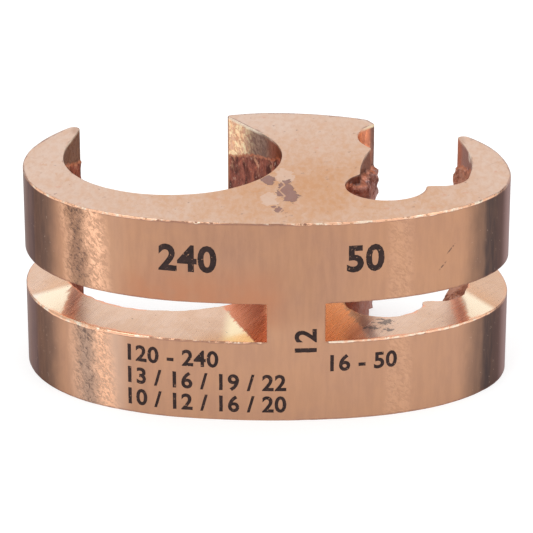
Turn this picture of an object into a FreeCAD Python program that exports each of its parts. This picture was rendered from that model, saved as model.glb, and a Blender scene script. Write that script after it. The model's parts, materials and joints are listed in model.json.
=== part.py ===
# Two-groove compression connector for grounding conductors, one piece of bare copper.
# An E-shaped bar is cut to length, and two saw slots split it into an upper and a lower lobe.
# Sizes are in millimetres. The bar runs along Z and stands on its sawn end.
# In the profile, x is measured from the middle of the bar and y (a rise) from the crown of its back.
import FreeCAD, Part
import math
import os

# Overall width of the bar, and its height in lobes and slot.
overall_width = 55.0
lobe_height = 9.45
slot_height = 4.5

# Back of the bar, the convex wall that the press bears on.
back_crown_x = 0.8
large_shoulder_inset = 9.5
large_shoulder_rise = 3.65
large_shoulder_slope = 27.0
large_flank_drop = 2.45
small_shoulder_inset = 8.2
small_shoulder_rise = 3.85
small_shoulder_slope = 28.0
small_flank_rise = 15.6

# Large groove and its hook, for a ground rod or a main conductor.
large_groove_radius = 12.45
large_groove_wall = 8.6
large_hook_wall = 4.4
large_tip_inset = 5.0
large_tip_reach = 8.75
large_tip_radius = 0.7
large_tip_outer_lean = 40.0
large_tip_inner_lean = 10.0

# Small groove with its round seat and its hook, for a tap conductor.
small_seat_radius = 4.5
small_seat_wrap = 232.0
small_seat_wall = 7.05
small_ledge_width = 1.6
small_hook_wall = 4.2
small_waist_rise = 19.4
small_tip_inset = 4.65
small_tip_reach = 7.5
small_tip_radius = 0.7
small_tip_outer_lean = 42.0
small_tip_inner_lean = 16.0

# Central post, from its neck between the grooves to its flared head.
post_neck = 7.05
post_scallop_depth = 0.35
post_ridge_rise = 23.5
post_ridge_inset = 0.6
head_width = 17.6
head_overhang = 6.7
head_crown_inset = 5.7
head_crown_stand = 2.0
head_corner_drop = 1.0
lip_scallop_depth = 1.8
lip_drop = 2.3
lip_length = 1.6
lip_lean = 0.9

# Web that the two saw slots leave, and how far it reaches under the large groove.
web_width = 6.4
web_undercut = 1.6

# Rounding of the post's corners and of the ledge beside the seat.
head_corner_radius = 0.6
lip_corner_radius = 0.3
ridge_radius = 0.5
ledge_radius = 0.5

# Places worked out from the sizes above.
height = 2.0 * lobe_height + slot_height
half_width = overall_width / 2.0
groove_x = -half_width + large_hook_wall + large_groove_radius
groove_y = large_groove_wall + large_groove_radius
large_flank_rise = groove_y - large_flank_drop
large_tip_rise = groove_y + large_tip_reach
small_tip_rise = small_waist_rise + small_tip_reach
overall_depth = groove_y + large_groove_radius + head_crown_stand
neck_left = groove_x + large_groove_radius
neck_right = neck_left + post_neck
seat_x = neck_right + small_seat_radius
seat_y = small_seat_wall + small_seat_radius
head_left = neck_left - head_overhang
head_right = head_left + head_width
web_left = neck_left - web_undercut
web_right = web_left + web_width


def place(x, rise):
    """Return a profile point, moved so that the bar is centred on the Z axis."""
    return FreeCAD.Vector(x, rise - overall_depth / 2.0, 0.0)


def heading(degrees):
    """Return the unit vector at an angle from +X towards +Y."""
    return FreeCAD.Vector(math.cos(math.radians(degrees)), math.sin(math.radians(degrees)), 0.0)


def line(start, end):
    """Return a straight edge."""
    return Part.LineSegment(start, end).toShape()


def arc_about(centre, radius, first, last):
    """Return the arc of a circle from one angle to another."""
    angles = (first, (first + last) / 2.0, last)
    return Part.Arc(*[centre + heading(angle) * radius for angle in angles]).toShape()


def tangent_arc(start, along, end):
    """Return the arc that leaves start in one direction and finishes at end."""
    chord = end - start
    normal = FreeCAD.Vector(-along.y, along.x, 0.0)
    side = normal.dot(chord)
    if abs(side) < 1e-6 * chord.Length:
        return line(start, end)
    centre = start + normal * (chord.dot(chord) / (2.0 * side))
    middle = (start - centre) + (end - centre)
    middle.normalize()
    return Part.Arc(start, centre + middle * (start - centre).Length, end).toShape()


def blend(start, start_angle, end, end_angle):
    """Return two arcs that meet smoothly and take one point and heading to another."""
    leave = heading(start_angle)
    arrive = heading(end_angle)
    chord = end - start
    spread = 2.0 * (1.0 - leave.dot(arrive))
    run = chord.dot(leave + arrive)
    reach = (math.sqrt(run * run + spread * chord.dot(chord)) - run) / spread
    joint = (start + end + (leave - arrive) * reach) * 0.5
    return [tangent_arc(start, leave, joint), tangent_arc(end, arrive * -1.0, joint)]


def scallop(start, end, depth):
    """Return the shallow arc between two points, sunk by a depth to the left of the way along."""
    chord = end - start
    sunk = FreeCAD.Vector(-chord.y, chord.x, 0.0) * (depth / chord.Length)
    return Part.Arc(start, (start + end) * 0.5 + sunk, end).toShape()


# Ends of the two hooks: each is a small round between the hook's outer and inner wall.
large_tip = place(-half_width + large_tip_inset, large_tip_rise)
large_tip_outside = 180.0 - large_tip_outer_lean
large_tip_inside = -large_tip_inner_lean
large_tip_outer = large_tip + heading(large_tip_outside) * large_tip_radius
large_tip_inner = large_tip + heading(large_tip_inside) * large_tip_radius
small_tip = place(half_width - small_tip_inset, small_tip_rise)
small_tip_outside = small_tip_outer_lean
small_tip_inside = 180.0 + small_tip_inner_lean
small_tip_outer = small_tip + heading(small_tip_outside) * small_tip_radius
small_tip_inner = small_tip + heading(small_tip_inside) * small_tip_radius


def back_wall():
    """Return the outer wall, from the large hook's tip round the back to the small hook's tip."""
    large_flank = place(-half_width, large_flank_rise)
    large_shoulder = place(-half_width + large_shoulder_inset, large_shoulder_rise)
    crown = place(back_crown_x, 0.0)
    small_shoulder = place(half_width - small_shoulder_inset, small_shoulder_rise)
    small_flank = place(half_width, small_flank_rise)
    edges = blend(large_tip_outer, large_tip_outside + 90.0, large_flank, 270.0)
    edges += blend(large_flank, 270.0, large_shoulder, -large_shoulder_slope)
    edges += blend(large_shoulder, -large_shoulder_slope, crown, 0.0)
    edges += blend(crown, 0.0, small_shoulder, small_shoulder_slope)
    edges += blend(small_shoulder, small_shoulder_slope, small_flank, 90.0)
    edges += blend(small_flank, 90.0, small_tip_outer, small_tip_outside + 90.0)
    return edges


# Corners of the small groove and of the post's head, in the order of the outline.
small_waist = place(half_width - small_hook_wall, small_waist_rise)
ledge = place(seat_x + small_seat_radius + small_ledge_width, seat_y)
seat = place(seat_x, seat_y)
seat_edge = seat + heading(0.0) * small_seat_radius
seat_end = seat + heading(-small_seat_wrap) * small_seat_radius
ridge = place(head_right - post_ridge_inset, post_ridge_rise)
lip_near = place(head_right, overall_depth - lip_drop - lip_length)
lip_far = place(head_right - lip_lean, overall_depth - lip_drop)
head_crown = place(head_left + head_crown_inset, overall_depth)
head_corner = place(head_left, overall_depth - head_corner_drop)


def small_groove():
    """Return the small hook's tip and inner wall, the ledge, the seat and the post's scallops."""
    edges = [arc_about(small_tip, small_tip_radius, small_tip_outside, small_tip_inside)]
    edges += blend(small_tip_inner, small_tip_inside + 90.0, small_waist, 270.0)
    edges += blend(small_waist, 270.0, ledge, 180.0)
    edges.append(line(ledge, seat_edge))
    edges.append(arc_about(seat, small_seat_radius, 0.0, -small_seat_wrap))
    edges.append(scallop(seat_end, ridge, post_scallop_depth))
    edges.append(scallop(ridge, lip_near, lip_scallop_depth))
    return edges


def post_head():
    """Return the lip over the small groove and the crowned far face of the post."""
    return [
        line(lip_near, lip_far),
        tangent_arc(head_crown, heading(0.0), lip_far),
        tangent_arc(head_crown, heading(180.0), head_corner),
    ]


def large_groove():
    """Return the post's flank, the round groove and the large hook's inner wall and tip."""
    centre = place(groove_x, groove_y)
    outward = head_corner - centre
    bearing = math.degrees(math.atan2(outward.y, outward.x))
    touch = bearing - math.degrees(math.acos(large_groove_radius / outward.Length))
    touch_point = centre + heading(touch) * large_groove_radius
    hook_foot = centre + heading(180.0) * large_groove_radius
    edges = [line(head_corner, touch_point)]
    edges.append(arc_about(centre, large_groove_radius, touch, -180.0))
    edges += blend(hook_foot, 90.0, large_tip_inner, large_tip_inside + 90.0)
    edges.append(arc_about(large_tip, large_tip_radius, large_tip_inside, large_tip_outside))
    return edges


def upright_edges(solid, point):
    """Return the edges of a bar that stand on one point of its profile."""
    found = []
    for edge in solid.Edges:
        ends = [vertex.Point for vertex in edge.Vertexes]
        if all(math.hypot(end.x - point.x, end.y - point.y) < 1e-4 for end in ends):
            found.append(edge)
    return found


def e_bar():
    """Return the bar at its full height, with the corners of the post and the ledge rounded."""
    outline = Part.sortEdges(back_wall() + small_groove() + post_head() + large_groove())[0]
    bar = Part.Face(Part.Wire(outline)).extrude(FreeCAD.Vector(0.0, 0.0, height))
    rounds = [
        (seat_edge, ledge_radius),
        (seat_end, ridge_radius),
        (ridge, ridge_radius),
        (lip_near, lip_corner_radius),
        (lip_far, lip_corner_radius),
        (head_corner, head_corner_radius),
    ]
    for point, radius in rounds:
        bar = bar.makeFillet(radius, upright_edges(bar, point))
    return bar


def saw_cut(first_x, last_x):
    """Return the block that one saw slot takes out, right through the depth of the bar."""
    corner = FreeCAD.Vector(first_x, -overall_depth, lobe_height)
    return Part.makeBox(last_x - first_x, 2.0 * overall_depth, slot_height, corner)


def connector_body():
    """Return the bar with its two saw slots, which leave the web between the lobes."""
    large_side_cut = saw_cut(-overall_width, web_left)
    small_side_cut = saw_cut(web_right, overall_width)
    return e_bar().cut(large_side_cut).cut(small_side_cut)


body = connector_body()
if body.ShapeType != "Solid":
    body = body.Solids[0]
os.makedirs("parts", exist_ok=True)
body.exportStep("parts/connector_body.step")
box = body.optimalBoundingBox()
print("connector_body valid", body.isValid(), "solids", len(body.Solids))
print("volume mm3", round(body.Volume, 1), "area mm2", round(body.Area, 1))
print("x", round(box.XMin, 3), round(box.XMax, 3), "y", round(box.YMin, 3), round(box.YMax, 3))
print("z", round(box.ZMin, 3), round(box.ZMax, 3))
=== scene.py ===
"""Looks of a two-groove copper connector for grounding conductors.

The bar is one piece of bare copper. Its outer wall is drawn smooth, its grooves are torn below a
smooth lead-in, and its ends and slots are sawn. Plain numbers are printed on the back wall.
Lengths are in metres, in the frame of the packed model, and sizes are written in millimetres.
"""
import json
import math

import bmesh
import bpy
import numpy as np
from bpy.props import FloatProperty, FloatVectorProperty, PointerProperty
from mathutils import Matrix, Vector
from mathutils.geometry import delaunay_2d_cdt


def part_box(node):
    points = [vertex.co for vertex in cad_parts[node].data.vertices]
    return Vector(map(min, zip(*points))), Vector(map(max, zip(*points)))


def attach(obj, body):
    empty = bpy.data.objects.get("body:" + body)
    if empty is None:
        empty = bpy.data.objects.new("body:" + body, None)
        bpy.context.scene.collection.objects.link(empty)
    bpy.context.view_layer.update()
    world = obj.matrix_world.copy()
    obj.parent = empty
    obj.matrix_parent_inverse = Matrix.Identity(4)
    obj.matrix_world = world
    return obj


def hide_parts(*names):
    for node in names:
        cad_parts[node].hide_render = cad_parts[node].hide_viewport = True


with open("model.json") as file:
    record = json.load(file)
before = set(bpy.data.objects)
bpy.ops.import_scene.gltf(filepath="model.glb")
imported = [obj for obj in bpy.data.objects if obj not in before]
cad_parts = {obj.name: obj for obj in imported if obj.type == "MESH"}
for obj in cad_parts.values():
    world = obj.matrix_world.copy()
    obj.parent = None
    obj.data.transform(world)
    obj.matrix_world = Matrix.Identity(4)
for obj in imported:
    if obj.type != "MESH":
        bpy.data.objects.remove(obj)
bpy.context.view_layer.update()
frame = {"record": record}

bl_info = {
    "name": "Two-groove grounding connector",
    "version": (1, 0, 0),
    "blender": (4, 5, 0),
    "location": "3D View > Sidebar > Connector",
    "description": "Builds the worn copper body, its printed numbers and its stage",
    "category": "Object",
}

# What the packed model gives: its box, the node and the two seats.
NODE = "connector_body"
BODY_LOW, BODY_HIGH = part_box(NODE)
WIDTH = BODY_HIGH.x - BODY_LOW.x
DEPTH = BODY_HIGH.y - BODY_LOW.y
HEIGHT = BODY_HIGH.z - BODY_LOW.z
SEATS = {mount["name"]: mount for mount in frame["record"]["mounts"]}
BODY_RIDES_ON = "root"

# Units, and how finely the surfaces are worked out.
MM = 0.001
FINE_STEP = 0.02 * MM
STATION_STEP = 0.28 * MM
ROW_STEP = 0.30 * MM
FILL_STEP = 0.9 * MM
WELD = 1e-7

# Random numbers that every noise on the body is read from.
LATTICE_SIDE = 64
LATTICE = np.random.default_rng(20).random((LATTICE_SIDE,) * 3)


def mm(*values):
    """Return lengths that are given in millimetres."""
    return tuple(value * MM for value in values)


def length(name, description, millimetres):
    """Return a length property whose default is given in millimetres."""
    return FloatProperty(
        name=name, description=description, default=millimetres * MM, unit="LENGTH", precision=5
    )


def angle(name, description, degrees):
    """Return an angle property whose default is given in degrees."""
    return FloatProperty(
        name=name, description=description, default=math.radians(degrees), unit="ROTATION"
    )


def tint(name, description, red, green, blue):
    """Return a colour property from linear red, green and blue."""
    default = (red, green, blue)
    return FloatVectorProperty(
        name=name, description=description, default=default, subtype="COLOR", min=0.0, max=1.0
    )


def amount(name, description, value):
    """Return a property for a plain number from 0 to 1."""
    return FloatProperty(name=name, description=description, default=value, min=0.0, max=1.0)


class ConnectorBack(bpy.types.PropertyGroup):
    """Convex back wall, the side that the press bears on."""

    crown_x: length("Crown place", "Distance of the crown from the middle of the bar", 0.8)
    large_shoulder_inset: length("Large shoulder inset", "From the large side to its shoulder", 9.5)
    large_shoulder_rise: length("Large shoulder rise", "From the crown back to the shoulder", 3.65)
    large_shoulder_slope: angle("Large shoulder slope", "Slope of the wall at the shoulder", 27.0)
    large_flank_drop: length("Large flank drop", "From the groove's centre to the flank", 2.45)
    small_shoulder_inset: length("Small shoulder inset", "From the small side to its shoulder", 8.2)
    small_shoulder_rise: length("Small shoulder rise", "From the crown back to the shoulder", 3.85)
    small_shoulder_slope: angle("Small shoulder slope", "Slope of the wall at the shoulder", 28.0)
    small_flank_rise: length("Small flank rise", "From the crown back to the widest place", 15.6)


class ConnectorLargeGroove(bpy.types.PropertyGroup):
    """Round groove on the large side, and its hook."""

    radius: length("Radius", "Radius of the groove", SEATS["large_seat"]["dims"]["r_mm"])
    wall: length("Wall", "Copper between the groove and the back", 8.6)
    hook_wall: length("Hook wall", "Thickness of the hook at its thinnest", 4.4)
    tip_inset: length("Tip inset", "From the large side to the hook's tip", 5.0)
    tip_reach: length("Tip reach", "From the groove's centre to the hook's tip", 8.75)
    tip_radius: length("Tip radius", "Rounding of the hook's tip", 0.7)
    tip_outer_lean: angle("Outer lean", "Lean of the tip's outer wall", 40.0)
    tip_inner_lean: angle("Inner lean", "Lean of the tip's inner wall", 10.0)


class ConnectorSmallGroove(bpy.types.PropertyGroup):
    """Small groove with its round seat, its ledge and its hook."""

    seat_radius: length("Seat radius", "Radius of the seat", SEATS["small_seat"]["dims"]["r_mm"])
    seat_wrap: angle("Seat wrap", "How far the seat goes round", 232.0)
    seat_wall: length("Seat wall", "Copper between the seat and the back", 7.05)
    ledge_width: length("Ledge width", "Flat ledge beside the seat", 1.6)
    ledge_radius: length("Ledge rounding", "Rounding of the seat's edge", 0.5)
    hook_wall: length("Hook wall", "Thickness of the hook at its waist", 4.2)
    waist_rise: length("Waist rise", "From the crown of the back to the hook's waist", 19.4)
    tip_inset: length("Tip inset", "From the small side to the hook's tip", 4.65)
    tip_reach: length("Tip reach", "From the waist to the hook's tip", 7.5)
    tip_radius: length("Tip radius", "Rounding of the hook's tip", 0.7)
    tip_outer_lean: angle("Outer lean", "Lean of the tip's outer wall", 42.0)
    tip_inner_lean: angle("Inner lean", "Lean of the tip's inner wall", 16.0)


class ConnectorPost(bpy.types.PropertyGroup):
    """Central post, from its neck to its flared head."""

    neck: length("Neck", "Thickness between the two grooves", 7.05)
    scallop_depth: length("Scallop depth", "Hollow between the seat and the ridge", 0.35)
    ridge_rise: length("Ridge rise", "From the crown of the back to the ridge", 23.5)
    ridge_inset: length("Ridge inset", "From the head's side back to the ridge", 0.6)
    ridge_radius: length("Ridge rounding", "Rounding of the ridge and the seat's end", 0.5)
    head_width: length("Head width", "Width of the flared head", 17.6)
    head_overhang: length("Head overhang", "How far the head flares over the large groove", 6.7)
    crown_inset: length("Crown inset", "From the head's corner to its crown", 5.7)
    corner_drop: length("Corner drop", "From the head's crown back to its corner", 1.0)
    corner_radius: length("Corner rounding", "Rounding of the head's corner", 0.6)
    lip_scallop_depth: length("Lip scallop depth", "Hollow between the ridge and the lip", 1.8)
    lip_drop: length("Lip drop", "From the head's crown back to the lip", 2.3)
    lip_length: length("Lip length", "Length of the lip's flat", 1.6)
    lip_lean: length("Lip lean", "How far the lip's flat leans", 0.9)
    lip_radius: length("Lip rounding", "Rounding of the lip's corners", 0.3)


class ConnectorSlots(bpy.types.PropertyGroup):
    """Two saw slots that leave the web between the lobes."""

    lobe_height: length("Lobe height", "Height of each lobe", 9.45)
    web_width: length("Web width", "Width of the web between the slots", 6.4)
    web_undercut: length("Web undercut", "How far the web reaches under the large groove", 1.6)


class ConnectorWear(bpy.types.PropertyGroup):
    """Worn edges, torn groove walls, hammered bands and dark flanks."""

    edge_width: length("Edge width", "Width of the worn outer edges", 0.062)
    edge_ragged: length("Edge raggedness", "How much the width of the edges changes", 0.12)
    edge_calm: amount("Calm edge share", "Width of the edges over the middle of the back", 0.5)
    inner_edge_share: amount("Inner edge share", "Width of the edges of the grooves", 0.55)
    strip_width: length("Strip width", "Extra width of the lower lobe's worn edge", 0.13)
    head_edge_width: length("Head edge width", "Extra width of the edge on the post's flank", 0.10)
    edge_fade: length("Edge fade", "Length over which an edge dies out beside the web", 0.6)
    lead_in: length("Lead-in", "Smooth height above the torn band at the grooves' waists", 1.3)
    lead_in_least: length("Least lead-in", "Smooth height at the foot of the grooves", 0.7)
    lead_in_growth: amount("Lead-in growth", "Growth of it towards the mouths", 0.3)
    hook_lead_in: length("Hook lead-in", "Extra smooth height on the large hook", 0.8)
    large_lead_in_rise: length("Large lead-in place", "Rise at which the large groove has it", 23.0)
    small_lead_in_rise: length("Small lead-in place", "Rise at which the small groove has it", 19.4)
    torn_proud: length("Torn height", "How proud the torn lumps stand", 0.15)
    burr_proud: length("Burr height", "How proud the burr on the post stands", 0.9)
    burr_crest: length("Burr crest", "Height over which that burr stands full", 2.2)
    burr_drop: length("Burr drop", "Height over which it dies out below", 4.2)
    hammer_depth: length("Hammer depth", "Depth of the hammered bands", 0.10)
    wall_waviness: length("Waviness", "Unevenness of the drawn wall", 0.016)


class ConnectorTints(bpy.types.PropertyGroup):
    """Colours of the copper and the ink, some of which are painted light and shade."""

    cut_pale: tint("Cut face, pale", "Palest copper of the sawn ends", 0.70, 0.51, 0.405)
    cut_warm: tint("Cut face, warm", "Warm mottling of the sawn ends", 0.60, 0.31, 0.15)
    slot: tint("Slot face", "Fresh copper of the saw slots", 0.80, 0.54, 0.395)
    # Orange-red of the painted reflections beside the web, also used on the small lead-in and slot
    # rims.
    slot_glow: tint("Slot face, heated", "Orange-red of the slots beside the web", 1.0, 0.36, 0.19)
    drawn: tint("Drawn wall", "Copper of the outer wall", 0.485, 0.262, 0.165)
    drawn_warm: tint("Drawn wall, warm", "Orange places of the outer wall", 0.47, 0.213, 0.122)
    drawn_cool: tint("Drawn wall, cool", "Duller streaks of the outer wall", 0.385, 0.208, 0.140)
    # Golden: painted highlight on the hammered crests, also used on the worn edges and torn bands.
    golden: tint("Golden crests", "Crests of the hammered band", 0.97, 0.56, 0.36)
    # Painted shade: grey-pink for dark surroundings mirrored in the lead-in, the lip and the wall's
    # edge strip.
    dark_reflection: tint("Dull lead-in", "Grey-pink of the shaded lead-in", 0.15, 0.10, 0.092)
    # Tarnish and painted shade: brown-grey of the flanks, also used for creases, nicks and dark
    # patches.
    tarnish_and_shade: tint("Tarnish", "Brown-grey of the flanks", 0.080, 0.060, 0.058)
    torn: tint("Torn copper", "Red-brown of the torn bands", 0.40, 0.155, 0.12)
    torn_dark: tint("Torn copper, dark", "Pits of the torn bands", 0.14, 0.066, 0.060)
    burr_rim: tint("Torn rim", "Red-orange of the torn band's rim", 0.62, 0.22, 0.13)
    # Burnished edges, which also carry the edges' painted highlights.
    bright: tint("Bright edge", "Burnished edges", 0.97, 0.83, 0.66)
    # Orange of the painted reflection on the small side's slot, also used in the post's painted
    # highlight.
    slot_orange: tint("Slot face, orange", "Orange of the small side's slot", 1.0, 0.52, 0.30)
    ashen: tint("Ashen copper", "Grey-pink of the small groove", 0.54, 0.37, 0.355)
    # Painted highlight: gleams on the slots, the post's lead-in and the top of the small scallop.
    painted_highlight: tint("Polished", "Gleams on the slots and the lead-in", 1.0, 0.82, 0.53)
    gleam: tint("Gleam", "Palest gleams of the slots", 1.0, 0.96, 0.86)
    # Stains, and painted shade: the line beside the edges, the sawn ends' rims and dark bands on
    # the slots.
    stain_and_shade: tint("Stain", "Purple-brown stains", 0.275, 0.132, 0.108)
    ink: tint("Ink", "Printing ink", 0.022, 0.012, 0.011)


class ConnectorStage(bpy.types.PropertyGroup):
    """Camera, lamps and floor."""

    target_x: length("Target X", "Where the camera looks", 0.066)
    target_z: length("Target height", "Where the camera looks", 11.076)
    distance: length("Distance", "From the camera to its target", 349.63)
    elevation: angle("Elevation", "Camera above the horizon", 22.53)
    azimuth: angle("Azimuth", "Camera round the object", 0.3235)
    focal_length: FloatProperty(name="Focal length", description="In millimetres", default=206.25)
    floor_radius: length("Floor radius", "Radius of the pale floor", 4000.0)
    light_level: FloatProperty(name="Light level", description="Strength of the room", default=0.92)


def sizes():
    """Return the property groups of the open scene, by short names."""
    scene = bpy.context.scene
    return {name: getattr(scene, SCENE_PREFIX + name) for name in GROUPS}


SCENE_PREFIX = "connector_"
GROUPS = {
    "back": ConnectorBack,
    "large": ConnectorLargeGroove,
    "small": ConnectorSmallGroove,
    "post": ConnectorPost,
    "slots": ConnectorSlots,
    "wear": ConnectorWear,
    "tints": ConnectorTints,
    "stage": ConnectorStage,
}


# Curves of the profile. A point is a complex number, x + 1j * rise, and a direction has length 1.
def ray(radians):
    """Return the direction at an angle from +X."""
    return np.exp(1j * radians)


def steps(run_length):
    """Return even parameters from 0 to 1, about one fine step apart on a run of that length."""
    return np.linspace(0.0, 1.0, max(4, int(run_length / FINE_STEP) + 1))


def straight(start, end):
    """Return points on a straight run: start + (end - start) * t."""
    return start + (end - start) * steps(abs(end - start))


def leaving_arc(start, along, end):
    """Return the arc that leaves start in one direction and finishes at end.

    The arc turns by twice the angle between that direction and the chord, and a point on it is
    start + along * radius * (exp(i * turn * t) - 1) / i.
    """
    chord = end - start
    turn = 2.0 * np.angle(chord / along)
    if abs(turn) < 1e-6:
        return straight(start, end)
    radius = abs(chord) / (2.0 * math.sin(turn / 2.0))
    return start + along * radius * (np.exp(1j * turn * steps(abs(radius * turn))) - 1.0) / 1j


def arc_about(centre, radius, first, last):
    """Return points on a circle between two angles: centre + radius * exp(i * angle)."""
    turn = last - first
    return centre + radius * np.exp(1j * (first + turn * steps(abs(turn) * radius)))


def blend(start, start_angle, end, end_angle):
    """Return two arcs that meet smoothly, as one run, from a point and heading to another.

    The joint is where both arcs have reached the same distance along their end tangents.
    """
    leave, arrive = ray(start_angle), ray(end_angle)
    chord = end - start
    spread = 2.0 * (1.0 - (leave * arrive.conjugate()).real)
    run = (chord.conjugate() * (leave + arrive)).real
    reach = (math.sqrt(run * run + spread * abs(chord) ** 2) - run) / spread
    joint = (start + end + (leave - arrive) * reach) / 2.0
    second = leaving_arc(end, -arrive, joint)[::-1]
    return np.concatenate([leaving_arc(start, leave, joint), second[1:]])


def scallop(start, end, depth):
    """Return a shallow arc whose middle is sunk by a depth to the left of the way along."""
    half_chord = abs(end - start) / 2.0
    lean = 2.0 * math.atan2(depth, half_chord)
    return leaving_arc(start, (end - start) / abs(end - start) * ray(lean), end)


def rounded(before, after, radius):
    """Return two runs shortened at the corner between them, and the curve that rounds it.

    Each run gives up radius * tan(turn / 2). The curve is (1-t)^2 a + 2t(1-t) corner + t^2 b.
    """
    corner = before[-1]
    turn = abs(np.angle((after[1] - after[0]) / (before[-1] - before[-2])))
    trim = radius * math.tan(turn / 2.0)
    before = before[np.abs(before - corner) > trim]
    after = after[np.abs(after - corner) > trim]
    t = steps(2.0 * trim)
    curve = (1.0 - t) ** 2 * before[-1] + 2.0 * t * (1.0 - t) * corner + t ** 2 * after[0]
    return before, curve, after


def profile_runs(size):
    """Return the runs of the closed profile, counterclockwise, as (zone, points, end rounding)."""
    back, large, small, post = (size[name] for name in ("back", "large", "small", "post"))
    half = WIDTH / 2.0
    quarter = math.pi / 2.0
    groove = complex(-half + large.hook_wall + large.radius, large.wall + large.radius)
    neck_left = groove.real + large.radius
    seat = complex(neck_left + post.neck + small.seat_radius, small.seat_wall + small.seat_radius)
    head_left = neck_left - post.head_overhang
    head_right = head_left + post.head_width

    large_tip = complex(-half + large.tip_inset, groove.imag + large.tip_reach)
    large_out, large_in = math.pi - large.tip_outer_lean, -large.tip_inner_lean
    small_tip = complex(half - small.tip_inset, small.waist_rise + small.tip_reach)
    small_out, small_in = small.tip_outer_lean, math.pi + small.tip_inner_lean
    large_flank = complex(-half, groove.imag - back.large_flank_drop)
    large_shoulder = complex(-half + back.large_shoulder_inset, back.large_shoulder_rise)
    crown = complex(back.crown_x, 0.0)
    small_shoulder = complex(half - back.small_shoulder_inset, back.small_shoulder_rise)
    small_flank = complex(half, back.small_flank_rise)
    waist = complex(half - small.hook_wall, small.waist_rise)
    ledge = seat + small.seat_radius + small.ledge_width
    seat_end = seat + small.seat_radius * ray(-small.seat_wrap)
    ridge = complex(head_right - post.ridge_inset, post.ridge_rise)
    lip_near = complex(head_right, DEPTH - post.lip_drop - post.lip_length)
    lip_far = complex(head_right - post.lip_lean, DEPTH - post.lip_drop)
    head_crown = complex(head_left + post.crown_inset, DEPTH)
    head_corner = complex(head_left, DEPTH - post.corner_drop)

    bearing = np.angle(head_corner - groove)
    touch = bearing - math.acos(large.radius / abs(head_corner - groove))
    large_tip_outer = large_tip + large.tip_radius * ray(large_out)
    large_tip_inner = large_tip + large.tip_radius * ray(large_in)
    small_tip_outer = small_tip + small.tip_radius * ray(small_out)
    small_tip_inner = small_tip + small.tip_radius * ray(small_in)
    large_slope, small_slope = -back.large_shoulder_slope, back.small_shoulder_slope
    return [
        ("outer", blend(large_tip_outer, large_out + quarter, large_flank, 3.0 * quarter), 0.0),
        ("outer", blend(large_flank, -quarter, large_shoulder, large_slope), 0.0),
        ("outer", blend(large_shoulder, large_slope, crown, 0.0), 0.0),
        ("outer", blend(crown, 0.0, small_shoulder, small_slope), 0.0),
        ("outer", blend(small_shoulder, small_slope, small_flank, quarter), 0.0),
        ("outer", blend(small_flank, quarter, small_tip_outer, small_out + quarter), 0.0),
        ("groove", arc_about(small_tip, small.tip_radius, small_out, small_in), 0.0),
        ("groove", blend(small_tip_inner, small_in + quarter, waist, 3.0 * quarter), 0.0),
        ("groove", blend(waist, 3.0 * quarter, ledge, 2.0 * quarter), 0.0),
        ("groove", straight(ledge, seat + small.seat_radius), small.ledge_radius),
        ("groove", arc_about(seat, small.seat_radius, 0.0, -small.seat_wrap), post.ridge_radius),
        ("groove", scallop(seat_end, ridge, post.scallop_depth), post.ridge_radius),
        ("groove", scallop(ridge, lip_near, post.lip_scallop_depth), post.lip_radius),
        ("outer", straight(lip_near, lip_far), post.lip_radius),
        ("outer", leaving_arc(head_crown, 1.0, lip_far)[::-1], 0.0),
        ("outer", leaving_arc(head_crown, -1.0, head_corner), post.corner_radius),
        ("groove", straight(head_corner, groove + large.radius * ray(touch)), 0.0),
        ("groove", arc_about(groove, large.radius, touch, -math.pi), 0.0),
        ("groove", blend(groove - large.radius, quarter, large_tip_inner, large_in + quarter), 0.0),
        ("groove", arc_about(large_tip, large.tip_radius, large_in, large_out), 0.0),
    ]


class Outline:
    """Closed profile of the bar, measured along its length from the large hook's tip."""

    def __init__(self, size):
        runs = profile_runs(size)
        pieces = [points for _, points, _ in runs]
        curves = [None] * len(runs)
        for index, (_, _, radius) in enumerate(runs):
            if radius > 0.0:
                following = (index + 1) % len(runs)
                trimmed = rounded(pieces[index], pieces[following], radius)
                pieces[index], curves[index], pieces[following] = trimmed
        points, grooved = [], []
        for (zone, _, _), piece, curve in zip(runs, pieces, curves):
            whole = piece if curve is None else np.concatenate([piece, curve[1:-1]])
            points.append(whole)
            grooved.append(np.full(len(whole), zone == "groove", dtype=float))
        points = np.concatenate(points)
        grooved = np.concatenate(grooved)
        kept = np.abs(np.roll(points, -1) - points) > 0.05 * FINE_STEP
        points, grooved = points[kept], grooved[kept]
        closed = np.append(points, points[0])
        self.along = np.concatenate([[0.0], np.cumsum(np.abs(np.diff(closed)))])
        self.total = self.along[-1]
        self.points = closed
        self.grooved = np.append(grooved, grooved[0])
        tangent = np.roll(points, -2) - np.roll(points, 2)
        outward = -1j * tangent / np.abs(tangent)
        self.outward = np.append(outward, outward[0])

    def read(self, values, along):
        """Return values along the profile, interpolated at distances from its start."""
        wrapped = np.mod(along, self.total)
        if np.iscomplexobj(values):
            real = np.interp(wrapped, self.along, values.real)
            return real + 1j * np.interp(wrapped, self.along, values.imag)
        return np.interp(wrapped, self.along, values)

    def crossings(self, x):
        """Return the distances along the profile at which it crosses a line of constant x."""
        over = self.points.real - x
        found = np.nonzero(over[:-1] * over[1:] < 0.0)[0]
        share = over[found] / (over[found] - over[found + 1])
        return self.along[found] + share * (self.along[found + 1] - self.along[found])

    def place_on_back(self, x):
        """Return the distance along the profile of the back wall's point at one x."""
        return min(self.crossings(x), key=lambda along: self.read(self.points, along).imag)


# Noise. It is read from one lattice of seeded random numbers.
def smooth(t):
    """Return 3t^2 - 2t^3, with t held between 0 and 1."""
    t = np.clip(t, 0.0, 1.0)
    return t * t * (3.0 - 2.0 * t)


def band(values, low, high, fade):
    """Return 1 between two limits and 0 outside them, with soft sides of one width."""
    return smooth((values - low) / fade + 0.5) * smooth((high - values) / fade + 0.5)


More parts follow.
